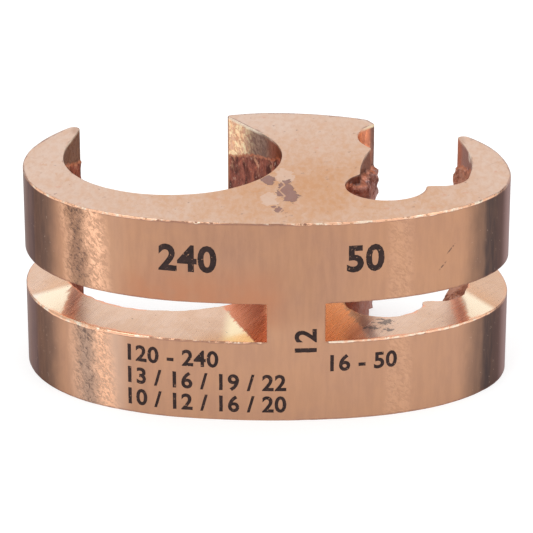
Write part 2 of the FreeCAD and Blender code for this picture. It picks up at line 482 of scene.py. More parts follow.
def cloud(points, cell, shift=0.0):
    """Return value noise from 0 to 1 at points, with lattice cells of the given size.

    The eight random numbers at the corners of a point's cell are blended by 3t^2 - 2t^3 on each
    axis.
    """
    scaled = points / np.asarray(cell) + shift
    corner = np.floor(scaled).astype(int)
    share = smooth(scaled - corner)
    total = np.zeros(points.shape[:-1])
    for step in np.ndindex(2, 2, 2):
        weight = np.prod(np.where(step, share, 1.0 - share), axis=-1)
        cells = (corner + np.array(step)) % LATTICE_SIDE
        total += weight * LATTICE[cells[..., 0], cells[..., 1], cells[..., 2]]
    return total


def rough_cloud(points, cell, shift=0.0):
    """Return three octaves of noise, each half the size and half the weight of the one before."""
    cell = np.asarray(cell)
    total = 4.0 * cloud(points, cell, shift) + 2.0 * cloud(points, cell / 2.0, shift + 7.3)
    return (total + cloud(points, cell / 4.0, shift + 15.1)) / 7.0


# Wear of the wall, as masks from 0 to 1 and as heights along the outward normal. Some masks hold
# painted shade: the dark lead-in and, with tarnish, the dark flanks. Limits across (x) and from the
# crown of the back (rise) end with the width of their soft sides.
MASKS = ("torn", "dark_reflection", "hammered", "scorched", "flank_darkening", "worn")
GROOVES_MEET_X = 5.0 * MM
LARGE_HOOK_X, LARGE_HOOK_FADE = mm(-18.5, 2.0)
SMALL_HOOK_X, SMALL_HOOK_FADE = mm(19.0, 1.5)
POST_SIDE_X = mm(9.5, 14.5, 1.0)
JITTER_CELL = mm(1.3, 1.3, 1.6)

# Torn band: how much higher the smooth part is beside the post, how ragged the band's top is, and
# how wide and proud its rim is.
POST_LEAD_IN = 0.5 * MM
TORN_TOP_JITTER = 0.9 * MM
TORN_RIM_WIDTH = 0.25 * MM
TORN_RIM_PROUD = 0.06 * MM

# Painted shade on the smooth lead-in, for dark surroundings mirrored there: the neck, and the
# post's side over the small groove.
NECK_X = mm(-2.3, 3.0, 2.0)
NECK_DARK_REFLECTION = 0.95
SCALLOP_X = mm(9.0, 14.0, 1.0)
SCALLOP_RISE = mm(6.0, 23.2, 0.8)

# Burrs: on the post, on the small hook, and on the lower lobe's small hook with its upper end.
POST_BURR_RISE = mm(13.0, 32.3, 1.6)
HOOK_BURR_X = mm(20.0, 24.5, 1.0)
HOOK_BURR_RISE = mm(22.0, 27.8, 3.0)
HOOK_BURR_SHARE = 0.4
LOW_BURR_X = mm(21.0, 24.5, 1.0)
LOW_BURR_RISE = mm(21.0, 26.0, 3.0)
LOW_BURR_SHARE = 2.2
LOW_BURR_TOP, LOW_BURR_FADE, LOW_BURR_FOOT = mm(7.0, 3.2, 2.0)

# Hammered bands and the scorched one, which lean and wander.
LARGE_HAMMER_X = mm(-22.4, -18.0, 1.6)
SCORCHED_X = mm(-22.0, -20.0, 1.5)
HAMMER_LEAN = 0.06
HAMMER_WANDER = 1.3 * MM
SMALL_HAMMER_X = mm(13.4, 16.1, 1.0)
SMALL_HAMMER_SHARE = 0.6
SMALL_HAMMER_WANDER = 0.8 * MM

# Dark flanks, tarnish and painted shade for dark surroundings mirrored there: where each begins,
# over what width it darkens, and the lip of the post.
LARGE_DARK_FLANK_X, LARGE_DARK_FLANK_FADE = mm(-22.1, 2.6)
SMALL_DARK_FLANK_X, SMALL_DARK_FLANK_FADE = mm(21.2, 2.8)
SMALL_STEP_X, SMALL_STEP_FADE = mm(24.0, 0.6)
SMALL_DARK_FLANK_SHARE, SMALL_STEP_SHARE = 0.66, 0.34
LOW_LOBE_DARKENING, UPPER_LOBE_EXTRA = 0.78, 0.08
UPPER_LOBE_Z, UPPER_LOBE_FADE = mm(12.0, 4.0)
DARK_FLANK_WANDER = 0.8 * MM
STREAK_X = mm(-26.6, -25.9, 0.4)
STREAK_SHARE = 0.3
DARK_FLANK_END_RISE = 31.0 * MM
LIP_START_RISE = 30.0 * MM
LIP_START_X, LIP_FADE, LIP_END_X = mm(9.8, 0.5, 15.0)
LIP_DARKENING = 0.85

# Heights: cells of the noises, and the crease in the lower lobe's back wall.
WAVE_CELL = mm(2.6, 2.6, 9.0)
LUMP_CELL = mm(1.0, 1.0, 1.5)
FINE_LUMP_CELL = mm(0.35, 0.35, 0.5)
DENT_CELL = mm(0.8, 0.8, 0.7)
CREASE_X, CREASE_WIDTH, CREASE_DEPTH = mm(14.9, 0.22, 0.05)

# Worn edges: cells of their noises, where they change, and their least and greatest width.
RAGGED_CELL = 0.9 * MM
CHIP_CELL = 1.7 * MM
CALM_EDGE_X = mm(-12.0, 3.5, 5.0)
STRIP_X = mm(-24.5, -14.0, 2.0)
HEAD_EDGE_X = mm(-5.0, -0.8, 1.0)
EDGE_LIMITS = mm(0.025, 0.3)


class Wall:
    """Upright wall of the bar: profile point + outward normal * (wear height - inset)."""

    def __init__(self, outline, wear):
        self.outline = outline
        self.wear = wear

    def base(self, along, z):
        """Return the bare wall's points and outward normals."""
        flat = self.outline.read(self.outline.points, along)
        normal = self.outline.read(self.outline.outward, along)
        normal = normal / np.abs(normal)
        z = np.broadcast_to(z, np.broadcast(flat, z).shape)
        flat, normal = np.broadcast_to(flat, z.shape), np.broadcast_to(normal, z.shape)
        points = np.stack([flat.real, flat.imag - DEPTH / 2.0, z], axis=-1)
        return points, np.stack([normal.real, normal.imag, np.zeros(z.shape)], axis=-1)

    def masks(self, along, z):
        """Return the wear masks at places on the wall, and what its height needs besides."""
        points, _ = self.base(along, z)
        grooved = np.broadcast_to(self.outline.read(self.outline.grooved, along), z.shape)
        outer = 1.0 - grooved
        x, front = points[..., 0], points[..., 1] < 0.0
        rise = points[..., 1] + DEPTH / 2.0
        jitter = rough_cloud(points, JITTER_CELL) - 0.5
        torn_top = self.torn_top(x, rise, jitter)
        torn = grooved * smooth((torn_top - z) / TORN_RIM_WIDTH + 0.5)
        leaning = x + HAMMER_LEAN * (z - HEIGHT) + HAMMER_WANDER * jitter
        large = band(leaning, *LARGE_HAMMER_X)
        small = SMALL_HAMMER_SHARE * band(x + SMALL_HAMMER_WANDER * jitter, *SMALL_HAMMER_X)
        return {
            "torn": torn,
            "dark_reflection": grooved * (1.0 - torn) * self.dark_reflection_places(x, rise),
            "hammered": outer * front * np.maximum(large, small),
            "scorched": outer * front * band(leaning, *SCORCHED_X),
            "flank_darkening": outer * self.tarnish_and_shade(x, rise, z, jitter),
            "lead_in": grooved * (1.0 - torn),
            "burr": torn * self.burrs(x, rise, z, torn_top),
        }

    def torn_top(self, x, rise, jitter):
        """Return the height at which the torn band ends and the smooth lead-in begins."""
        wear = self.wear
        waist = np.where(x < GROOVES_MEET_X, wear.large_lead_in_rise, wear.small_lead_in_rise)
        lead_in = wear.lead_in + wear.lead_in_growth * (rise - waist)
        lead_in = np.maximum(lead_in, wear.lead_in_least)
        lead_in = lead_in + POST_LEAD_IN * band(x, *POST_SIDE_X)
        lead_in = lead_in + wear.hook_lead_in * smooth((LARGE_HOOK_X - x) / LARGE_HOOK_FADE)
        return HEIGHT - lead_in + TORN_TOP_JITTER * jitter

    def dark_reflection_places(self, x, rise):
        """Return where the lead-in gets painted shade: on the hooks, the neck and the post's
        scallops.
        """
        hooks = smooth((LARGE_HOOK_X - x) / LARGE_HOOK_FADE)
        hooks = hooks + smooth((x - SMALL_HOOK_X) / SMALL_HOOK_FADE)
        neck = NECK_DARK_REFLECTION * band(x, *NECK_X)
        scallops = band(x, *SCALLOP_X) * band(rise, *SCALLOP_RISE)
        return np.clip(hooks + neck + scallops, 0.0, 1.0)

    def burrs(self, x, rise, z, torn_top):
        """Return the shares of the burrs, which stand full below the lead-in and die out lower."""
        burr = band(x, *POST_SIDE_X) * band(rise, *POST_BURR_RISE)
        burr = burr + HOOK_BURR_SHARE * band(x, *HOOK_BURR_X) * band(rise, *HOOK_BURR_RISE)
        sunk = torn_top - z - self.wear.burr_crest
        burr = burr * (1.0 - smooth(sunk / self.wear.burr_drop))
        low_hook = band(x, *LOW_BURR_X) * band(rise, *LOW_BURR_RISE)
        low_hook = LOW_BURR_SHARE * low_hook * smooth((LOW_BURR_TOP - z) / LOW_BURR_FADE)
        return burr + low_hook * smooth(z / LOW_BURR_FOOT)

    def tarnish_and_shade(self, x, rise, z, jitter):
        """Return how dark the flanks and the post's lip are, as tarnish and painted shade."""
        wander = DARK_FLANK_WANDER * jitter
        large_dark = smooth((LARGE_DARK_FLANK_X - x + wander) / LARGE_DARK_FLANK_FADE)
        small_dark = smooth((x - SMALL_DARK_FLANK_X + wander) / SMALL_DARK_FLANK_FADE)
        step = smooth((x - SMALL_STEP_X + 0.5 * wander) / SMALL_STEP_FADE)
        small_dark = SMALL_DARK_FLANK_SHARE * small_dark + SMALL_STEP_SHARE * step
        streak = STREAK_SHARE * band(x + 0.3 * wander, *STREAK_X)
        upper = smooth((z - UPPER_LOBE_Z) / UPPER_LOBE_FADE)
        large_dark = large_dark * (LOW_LOBE_DARKENING + UPPER_LOBE_EXTRA * upper)
        flanks = np.clip(np.maximum(large_dark + streak, small_dark), 0.0, 1.0)
        lip = (rise > LIP_START_RISE) * smooth((x - LIP_START_X) / LIP_FADE) * (x < LIP_END_X)
        return (rise < DARK_FLANK_END_RISE) * flanks + LIP_DARKENING * lip

    def height(self, along, z, masks):
        """Return how far the worn wall stands proud of the bare one."""
        points, _ = self.base(along, z)
        wear = self.wear
        waves = rough_cloud(points, WAVE_CELL, 3.0) - 0.5
        height = wear.wall_waviness * waves
        lumps = rough_cloud(points, LUMP_CELL, 11.0)
        lumps = 0.75 * lumps + 0.25 * cloud(points, FINE_LUMP_CELL, 41.0)
        tufts = smooth((lumps - 0.36) / 0.30)
        height = height + masks["torn"] * wear.torn_proud * (0.1 + 0.9 * tufts * tufts)
        height = height + masks["burr"] * wear.burr_proud * (0.35 + 0.65 * tufts)
        rim = masks["torn"] * (1.0 - masks["torn"]) * 4.0
        height = height + rim * TORN_RIM_PROUD
        dents = rough_cloud(points, DENT_CELL, 23.0) - 0.55
        height = height + masks["hammered"] * wear.hammer_depth * dents
        height = height + masks["lead_in"] * 0.5 * wear.hammer_depth * dents
        crease = np.exp(-((points[..., 0] - CREASE_X) / CREASE_WIDTH) ** 2)
        return height - CREASE_DEPTH * crease * (points[..., 1] < 0.0) * (z < HEIGHT / 2.0)

    def points(self, along, z, inset=0.0):
        """Return points on the worn wall, moved inwards by an inset."""
        along, z = np.broadcast_arrays(along, z)
        base, normal = self.base(along, z)
        height = self.height(along, z, self.masks(along, z))
        return base + normal * (height - inset)[..., None]

    def edge_width(self, along, z):
        """Return the width of the worn edge that runs along one end of a lobe."""
        wear = self.wear
        points, _ = self.base(along, np.full(along.shape, z))
        x, front = points[:, 0], points[:, 1] < 0.0
        ragged = rough_cloud(points, RAGGED_CELL, 5.0 + z / MM)
        chips = smooth((cloud(points, CHIP_CELL, 31.0 + z / MM) - 0.8) / 0.15)
        width = wear.edge_width + wear.edge_ragged * (ragged - 0.45 + 0.7 * chips)
        grooved = self.outline.read(self.outline.grooved, along)
        middle = band(x, *CALM_EDGE_X) * front
        if z < HEIGHT / 2.0:
            width = width + wear.strip_width * band(x, *STRIP_X) * front * (z > 0.0)
        head = band(x, *HEAD_EDGE_X) * (points[:, 1] > 0.0) * grooved
        width = width + wear.head_edge_width * head * (z > HEIGHT / 2.0)
        share = 1.0 - grooved * (1.0 - wear.inner_edge_share)
        share = share * (1.0 - middle * (1.0 - wear.edge_calm))
        return np.clip(width * share, *EDGE_LIMITS)


class Patchwork:
    """Triangles of several surfaces, welded into one closed mesh."""

    def __init__(self):
        self.surfaces = []
        self.count = 0

    def add(self, points, wall_map, masks, triangles, material):
        """Take one surface: its points, wall map, masks, triangles and material number."""
        materials = np.full(len(triangles), material)
        self.surfaces.append((points, wall_map, masks, triangles + self.count, materials))
        self.count += len(points)

    def add_grid(self, points, wall_map, masks, material, columns=None):
        """Take a grid of points, two triangles a cell, for the columns that are marked."""
        rows, width = points.shape[:2]
        index = np.arange(rows * width).reshape(rows, width)
        corners = [index[:-1, :-1], index[:-1, 1:], index[1:, 1:], index[1:, :-1]]
        if columns is not None:
            corners = [corner[:, columns] for corner in corners]
        a, b, c, d = (corner.reshape(-1) for corner in corners)
        triangles = np.concatenate([np.stack([a, b, c], -1), np.stack([a, c, d], -1)])
        flat = points.reshape(-1, 3)
        self.add(flat, wall_map.reshape(-1, 2), masks.reshape(-1, len(MASKS)), triangles, material)

    def weld(self):
        """Return welded points and masks, and the whole triangles with their maps and materials."""
        joined = [np.concatenate(arrays) for arrays in zip(*self.surfaces)]
        points, maps, masks, triangles, materials = joined
        keys = np.round(points / WELD).astype(np.int64)
        _, first, place = np.unique(keys, axis=0, return_index=True, return_inverse=True)
        place = place.reshape(-1)
        welded_masks = np.zeros((len(first), len(MASKS)))
        np.maximum.at(welded_masks, place, masks)
        welded = place[triangles]
        whole = (welded[:, 0] != welded[:, 1]) & (welded[:, 1] != welded[:, 2])
        whole &= welded[:, 0] != welded[:, 2]
        return points[first], welded_masks, welded[whole], maps[triangles[whole]], materials[whole]


def inside(points, loop):
    """Return which points lie inside a closed loop, by counting the sides that a ray crosses."""
    start, end = loop, np.roll(loop, -1, axis=0)
    x, y = points[:, 0, None], points[:, 1, None]
    spans = (start[:, 1] > y) != (end[:, 1] > y)
    rise = np.where(end[:, 1] == start[:, 1], 1.0, end[:, 1] - start[:, 1])
    cross = start[:, 0] + (y - start[:, 1]) * (end[:, 0] - start[:, 0]) / rise
    return (np.sum(spans & (x < cross), axis=1) % 2) == 1


def filled(loop):
    """Return the points and triangles of a flat face inside a loop, which a lattice fills."""
    low, high = loop.min(axis=0), loop.max(axis=0)
    x, y = np.meshgrid(np.arange(low[0], high[0], FILL_STEP), np.arange(low[1], high[1], FILL_STEP))
    x = x + (np.arange(len(x)) % 2)[:, None] * FILL_STEP / 2.0
    lattice = np.stack([x, y], axis=-1).reshape(-1, 2)
    lattice = lattice[inside(lattice, loop)]
    gap = np.sqrt(((lattice[:, None] - loop[None]) ** 2).sum(axis=-1)).min(axis=1)
    points = np.concatenate([loop, lattice[gap > 0.5 * FILL_STEP]])
    flat = [Vector(point) for point in points / MM]
    border = list(range(len(loop)))
    result = delaunay_2d_cdt(flat, [], [border], 1, 1e-7)
    source = np.array([origin[0] for origin in result[3]])
    triangles = source[np.array(result[2])]
    a, b, c = (points[triangles[:, k]] for k in range(3))
    turn = (b - a)[:, 0] * (c - a)[:, 1] - (b - a)[:, 1] * (c - a)[:, 0]
    triangles[turn < 0.0] = triangles[turn < 0.0][:, ::-1]
    return points, triangles


OUTER_WALL, GROOVE_WALL, SAWN_END, SAW_SLOT = range(4)

# How much the lower edges of a lobe shine, how far the shine reaches on the wall and how strong
# it is there, where an edge's round bends, and the widths at which an edge begins to show.
UNDERSIDE_SHINE = 0.2
SHINE_REACH = 0.1 * MM
SHINE_ON_WALL = 0.25
ROUND_BEND = 0.3
LEAST_EDGE = 0.02 * MM
FULL_EDGE = 0.06 * MM


class BodyBuilder:
    """Works out the worn bar as one welded mesh."""

    def __init__(self, size):
        self.size = size
        self.outline = Outline(size)
        self.wall = Wall(self.outline, size["wear"])
        slots = size["slots"]
        large, post = size["large"], size["post"]
        self.low_slot = slots.lobe_height
        self.high_slot = HEIGHT - slots.lobe_height
        neck_left = -WIDTH / 2.0 + large.hook_wall + 2.0 * large.radius
        self.web_left = neck_left - slots.web_undercut
        self.web_right = self.web_left + slots.web_width
        self.patches = Patchwork()
        self.lay_stations()

    def lay_stations(self):
        """Place stations round the profile, about one step apart, with one at each web corner."""
        left = np.sort(self.outline.crossings(self.web_left))
        right = np.sort(self.outline.crossings(self.web_right))
        self.corners = np.array([left[0], right[0], right[1], left[1], left[2], left[3]])
        stops = np.concatenate([[0.0], self.corners, [self.outline.total]])
        spans = []
        for start, end in zip(stops[:-1], stops[1:]):
            count = max(2, int(math.ceil((end - start) / STATION_STEP)))
            spans.append(np.linspace(start, end, count + 1)[:-1])
        self.corner_index = np.cumsum([len(span) for span in spans])[:-1]
        self.along = np.concatenate(spans + [[self.outline.total]])
        a, b, c, d, e, f = self.corners
        middle = (self.along[:-1] + self.along[1:]) / 2.0
        in_web = ((middle > a) & (middle < b)) | ((middle > c) & (middle < d))
        self.web_column = in_web | ((middle > e) & (middle < f))
        near = np.full(len(self.along), np.inf)
        for first, last in ((a, b), (c, d), (e, f)):
            gap = np.maximum(first - self.along, self.along - last)
            near = np.minimum(near, np.maximum(gap, 0.0))
        self.slot_fade = smooth(near / self.size["wear"].edge_fade)
        self.groove_column = self.outline.read(self.outline.grooved, middle) > 0.5

    def widths(self, z, beside_slot):
        """Return the worn edge's width at every station, which dies out beside the web."""
        width = self.wall.edge_width(self.along, z)
        width[-1] = width[0]
        return width * self.slot_fade if beside_slot else width

    def mask_array(self, along, z, worn):
        """Return the masks of wall points as one array, in the order of MASKS."""
        along, z, worn = np.broadcast_arrays(along, z, worn)
        masks = self.wall.masks(along, z)
        masks["worn"] = worn
        return np.stack([masks[name] for name in MASKS], axis=-1)

    def add_wall(self, z, inset, worn, columns):
        """Add rows of the wall, as outer wall and as groove wall, and return their points."""
        along = np.broadcast_to(self.along, z.shape)
        points = self.wall.points(along, z, inset)
        points[:, -1] = points[:, 0]
        wall_map = np.stack([along, z], axis=-1)
        masks = self.mask_array(along, z, worn)
        grooved = self.groove_column
        for material, chosen in ((GROOVE_WALL, grooved), (OUTER_WALL, ~grooved)):
            self.patches.add_grid(points, wall_map, masks, material, chosen & columns)
        return points

    def lobe(self, low, high, low_beside_slot, high_beside_slot):
        """Add one lobe's wall and worn edges, and return its lower and upper end loops.

        Rows go evenly from one edge to the other. Each edge is a small round: the wall stops one
        width short of the end, and the end face starts one width inside the wall.
        """
        low_width = self.widths(low, low_beside_slot)
        high_width = self.widths(high, high_beside_slot)
        count = int(math.ceil((high - low) / ROW_STEP))
        t = np.linspace(0.0, 1.0, count + 1)[:, None]
        rows = (low + low_width) * (1.0 - t) + (high - high_width) * t
        every = np.ones(len(self.along) - 1, bool)
        near_edge = UNDERSIDE_SHINE * np.exp(-(rows - low) / SHINE_REACH)
        near_edge = near_edge + np.exp(-(high - rows) / SHINE_REACH)
        fade = np.where(rows < (low + high) / 2.0, low_width, high_width) > LEAST_EDGE
        self.add_wall(rows, np.zeros(rows.shape), SHINE_ON_WALL * near_edge * fade, every)
        ends = []
        for edge, width, side in ((low, low_width, 1.0), (high, high_width, -1.0)):
            flat = np.full(width.shape, edge)
            z = np.stack([edge + side * width, edge + side * ROUND_BEND * width, flat])
            inset = np.stack([np.zeros(width.shape), ROUND_BEND * width, width])
            shine = fade_in(width) * (1.0 if side < 0.0 else UNDERSIDE_SHINE)
            worn = np.stack([shine, shine, shine])
            if side < 0.0:
                ends.append(self.add_wall(z, inset, worn, every)[-1])
            else:
                ends.append(self.add_wall(z[::-1], inset[::-1], worn, every)[0])
        return ends

    def add_web(self):
        """Add the wall strips of the web between the two slots, and its flat sides."""
        count = int(math.ceil((self.high_slot - self.low_slot) / ROW_STEP))
        rows = np.linspace(self.low_slot, self.high_slot, count + 1)[:, None]
        rows = np.broadcast_to(rows, (count + 1, len(self.along)))
        zeros = np.zeros(rows.shape)
        points = self.add_wall(rows, zeros, zeros, self.web_column)
        column = {name: points[:, index] for name, index in zip("abcdef", self.corner_index)}
        for start, end in (("a", "f"), ("e", "d"), ("c", "b")):
            first, last = column[start], column[end]
            span = np.abs(last[0] - first[0]).max()
            t = np.linspace(0.0, 1.0, max(2, int(span / FILL_STEP)) + 1)[None, :, None]
            side = first[:, None] * (1.0 - t) + last[:, None] * t
            masks = np.zeros(side.shape[:2] + (len(MASKS),))
            self.patches.add_grid(side[:, ::-1], side[:, ::-1, 1:], masks, SAW_SLOT)

    def add_end(self, loop, z, upwards, material):
        """Add a flat face inside a loop, facing up or down."""
        points, triangles = filled(loop)
        if not upwards:
            triangles = triangles[:, ::-1]
        full = np.column_stack([points, np.full(len(points), z)])
        self.patches.add(full, points, np.zeros((len(points), len(MASKS))), triangles, material)

    def slot_loops(self, ring):
        """Return the loops of the three faces that a slot leaves: hook side, small side, flare."""
        a, b, c, d, e, f = self.corner_index
        spans = [
            np.concatenate([ring[f:-1], ring[:a + 1]]),
            ring[b:c + 1],
            ring[d:e + 1],
        ]
        loops = []
        for span in spans:
            first, last = span[-1], span[0]
            count = max(2, int(np.abs(last - first).max() / FILL_STEP))
            t = np.linspace(0.0, 1.0, count + 1)[1:-1, None]
            loops.append(np.concatenate([span, first * (1.0 - t) + last * t])[:, :2])
        return loops

    def build(self):
        """Return the welded mesh arrays of the whole bar."""
        bottom, low_ring = self.lobe(0.0, self.low_slot, False, True)
        high_ring, top = self.lobe(self.high_slot, HEIGHT, True, False)
        self.add_web()
        self.add_end(bottom[:-1, :2], 0.0, False, SAWN_END)
        self.add_end(top[:-1, :2], HEIGHT, True, SAWN_END)
        for loop in self.slot_loops(low_ring):
            self.add_end(loop, self.low_slot, True, SAW_SLOT)
        for loop in self.slot_loops(high_ring):
            self.add_end(loop, self.high_slot, False, SAW_SLOT)
        return self.patches.weld()


def fade_in(width):
    """Return how visible a worn edge is, from its width."""
    return smooth(width / FULL_EDGE)


def add_object(name, data):
    """Return a new object with its data, linked to the scene."""
    item = bpy.data.objects.new(name, data)
    bpy.context.scene.collection.objects.link(item)
    return item


def mesh_from_triangles(name, points, triangles, materials, flat_materials):
    """Return a mesh of triangles, smooth but for the faces whose material is a flat one."""
    mesh = bpy.data.meshes.new(name)
    mesh.vertices.add(len(points))
    mesh.vertices.foreach_set("co", points.astype(np.float32).ravel())
    mesh.loops.add(3 * len(triangles))
    mesh.loops.foreach_set("vertex_index", triangles.astype(np.int32).ravel())
    mesh.polygons.add(len(triangles))
    mesh.polygons.foreach_set("loop_start", np.arange(0, 3 * len(triangles), 3, dtype=np.int32))
    mesh.polygons.foreach_set("material_index", materials.astype(np.int32))
    mesh.update(calc_edges=True)
    sharp = mesh.attributes.new("sharp_face", "BOOLEAN", "FACE")
    sharp.data.foreach_set("value", np.isin(materials, flat_materials))
    if mesh.validate():
        raise RuntimeError(f"the mesh {name} had faulty faces")
    return mesh


def build_body(size):
    """Make the connector's body in the scene and return its object."""
    points, masks, triangles, maps, materials = BodyBuilder(size).build()
    mesh = mesh_from_triangles("connector", points, triangles, materials, (SAWN_END, SAW_SLOT))
    wall_map = mesh.uv_layers.new(name="wall_map")
    wall_map.data.foreach_set("uv", maps.astype(np.float32).ravel())
    for index, name in enumerate(MASKS):
        attribute = mesh.attributes.new(name, "FLOAT", "POINT")
        attribute.data.foreach_set("value", masks[:, index].astype(np.float32))
    return add_object("connector", mesh)


# Node trees. Patterns are worked out in millimetres.
BLADE_CENTRE = (73.4, -43.7, 0.0)
CUT_ALONG = (0.375, 0.927, 0.0)
SAW_LINE_CHANGE = 0.03
WRINKLE_LEAN = math.radians(-40.0)
SCRATCH_TURNS = ((0.06, 0.5), (0.09, -0.9))


def opaque(colour):
    """Return a socket as it is, and red, green and blue with full opacity."""
    return colour if isinstance(colour, bpy.types.NodeSocket) else (*colour, 1.0)


def scaled(colour, level):
    """Return red, green and blue at another level."""
    return [level * part for part in colour]


class Tree:
    """A node tree being written, with short ways to add its nodes."""

    def __init__(self, tree):
        self.tree = tree

    def link(self, source, target):
        """Link one socket to another."""
        self.tree.links.new(source, target)

    def add(self, kind, inputs=None, **settings):
        """Add a node, set its options, and link or set its inputs."""
        node = self.tree.nodes.new(kind)
        for name, value in settings.items():
            setattr(node, name, value)
        for name, value in (inputs or {}).items():
            if isinstance(value, bpy.types.NodeSocket):
                self.link(value, node.inputs[name])
            else:
                node.inputs[name].default_value = value
        return node

    def math(self, operation, first, second=0.0, clamp=False):
        """Return the result of an operation on one or two values."""
        inputs = {0: first, 1: second}
        return self.add("ShaderNodeMath", inputs, operation=operation, use_clamp=clamp).outputs[0]

    def plus(self, first, second):
        """Return the sum of two values."""
        return self.math("ADD", first, second)

    def minus(self, first, second):
        """Return the difference of two values."""
        return self.math("SUBTRACT", first, second)

    def times(self, first, *others):
        """Return the product of two or more values."""
        for other in others:
            first = self.math("MULTIPLY", first, other)
        return first

    def most(self, first, second):
        """Return the larger of two values."""
        return self.math("MAXIMUM", first, second)

    def least(self, first, second):
        """Return the smaller of two values."""
        return self.math("MINIMUM", first, second)

    def centred(self, value, gain=1.0):
        """Return a value of which the middle, 0.5, becomes 0, times a gain."""
        return self.times(self.minus(value, 0.5), gain)

    def vector_math(self, operation, first, second=(0.0, 0.0, 0.0)):
        """Return the outputs of an operation on one or two vectors."""
        inputs = {0: first, 1: second}
        return self.add("ShaderNodeVectorMath", inputs, operation=operation).outputs

    def axes(self, vector):
        """Return a vector's parts."""
        return self.add("ShaderNodeSeparateXYZ", {"Vector": vector}).outputs

    def mix(self, factor, first, second):
        """Return a colour between two colours."""
        inputs = {0: factor, 6: opaque(first), 7: opaque(second)}
        return self.add("ShaderNodeMix", inputs, data_type="RGBA").outputs[2]

    def ramp(self, value, low, high, to_low=0.0, to_high=1.0):
        """Return a value eased from one range to another."""
        inputs = {
            "Value": value, "From Min": low, "From Max": high, "To Min": to_low, "To Max": to_high,
        }
        node = self.add("ShaderNodeMapRange", inputs, interpolation_type="SMOOTHSTEP")
        return node.outputs[0]

    def band(self, value, low, high, fade):
        """Return 1 between two limits and 0 outside them, with soft sides of one width."""
        rise = self.ramp(value, low - fade / 2.0, low + fade / 2.0)
        return self.times(rise, self.ramp(value, high + fade / 2.0, high - fade / 2.0))

    def noise(self, vector, scale, detail=4.0, roughness=0.55, distortion=0.0):
        """Return a noise value round 0.5."""
        inputs = {
            "Vector": vector, "Scale": scale, "Detail": detail, "Roughness": roughness,
            "Distortion": distortion,
        }
        return self.add("ShaderNodeTexNoise", inputs).outputs[0]

    def stretched(self, vector, scale, turn=(0.0, 0.0, 0.0)):
        """Return coordinates turned and then scaled on each axis."""
        turned = self.add("ShaderNodeMapping", {"Vector": vector, "Rotation": turn})
        inputs = {"Vector": turned.outputs[0], "Scale": scale}
        return self.add("ShaderNodeMapping", inputs).outputs[0]

    def in_millimetres(self, vector):
        """Return coordinates given in metres, in millimetres."""
        inputs = {"Vector": vector, "Scale": (1.0 / MM,) * 3}
        return self.add("ShaderNodeMapping", inputs).outputs[0]

    def mask(self, name):
        """Return one of the body's wear masks."""
        return self.add("ShaderNodeAttribute", attribute_name=name).outputs["Fac"]

    def pattern(self, name, vector, scale, **settings):
        """Return the outputs of one of the shared groups."""
        inputs = {"Vector": vector, "Scale": scale, **settings}
        return self.add("ShaderNodeGroup", inputs, node_tree=bpy.data.node_groups[name]).outputs


def new_group(name, inputs, outputs):
    """Return the tree of a new shader group, its input node's sockets and its output sockets.

    Every group takes coordinates and a scale, and the values that are named.
    """
    group = bpy.data.node_groups.new(name, "ShaderNodeTree")
    group.interface.new_socket(name="Vector", in_out="INPUT", socket_type="NodeSocketVector")
    for socket in ("Scale", *inputs):
        group.interface.new_socket(name=socket, in_out="INPUT", socket_type="NodeSocketFloat")
    for socket in outputs:
        group.interface.new_socket(name=socket, in_out="OUTPUT", socket_type="NodeSocketFloat")
    tree = Tree(group)
    return tree, tree.add("NodeGroupInput").outputs, tree.add("NodeGroupOutput").inputs


def mottling_group():
    """Soft cloudy patches: two sizes of noise added, then eased to a mask."""
    tree, given, result = new_group("Mottling", ["Spread"], ["Mask"])
    broad = tree.noise(given["Vector"], given["Scale"], detail=3.0, distortion=0.4)
    finer = tree.times(given["Scale"], 4.3)
    fine = tree.noise(given["Vector"], finer, detail=6.0, roughness=0.7)
    value = tree.plus(tree.times(broad, 0.65), tree.times(fine, 0.35))
    low, high = tree.minus(0.5, given["Spread"]), tree.plus(0.5, given["Spread"])
    tree.link(tree.ramp(value, low, high), result["Mask"])


def specks_group():
    """Small scattered spots: near the centres of Voronoi cells, where a noise lets them show."""
    tree, given, result = new_group("Specks", ["Share"], ["Mask"])
    bend = tree.add("ShaderNodeTexNoise", {"Vector": given["Vector"], "Scale": 2.6})
    bent = tree.vector_math("ADD", given["Vector"], bend.outputs["Color"])[0]
    cells = tree.add("ShaderNodeTexVoronoi", {"Vector": bent, "Scale": given["Scale"]}).outputs
    spot = tree.ramp(cells["Distance"], 0.12, 0.30, 1.0, 0.0)
    lottery = tree.add("ShaderNodeSeparateColor", {"Color": cells["Color"]}).outputs[0]
    chosen = tree.math("LESS_THAN", lottery, given["Share"])
    tree.link(tree.times(spot, chosen), result["Mask"])


def scratches_group():
    """Thin broken lines: noise drawn out along two directions and cut to its crests."""
    tree, given, result = new_group("Scratches", ["Share"], ["Mask"])
    total = 0.0
    for stretch, turn in SCRATCH_TURNS:
        drawn = tree.stretched(given["Vector"], (stretch, 1.0, 1.0), (0.0, 0.0, turn))
        crest = tree.noise(drawn, given["Scale"], detail=2.0, roughness=0.5)
        line = tree.math("GREATER_THAN", crest, tree.minus(1.0, given["Share"]))
        total = tree.most(total, line)
    tree.link(total, result["Mask"])


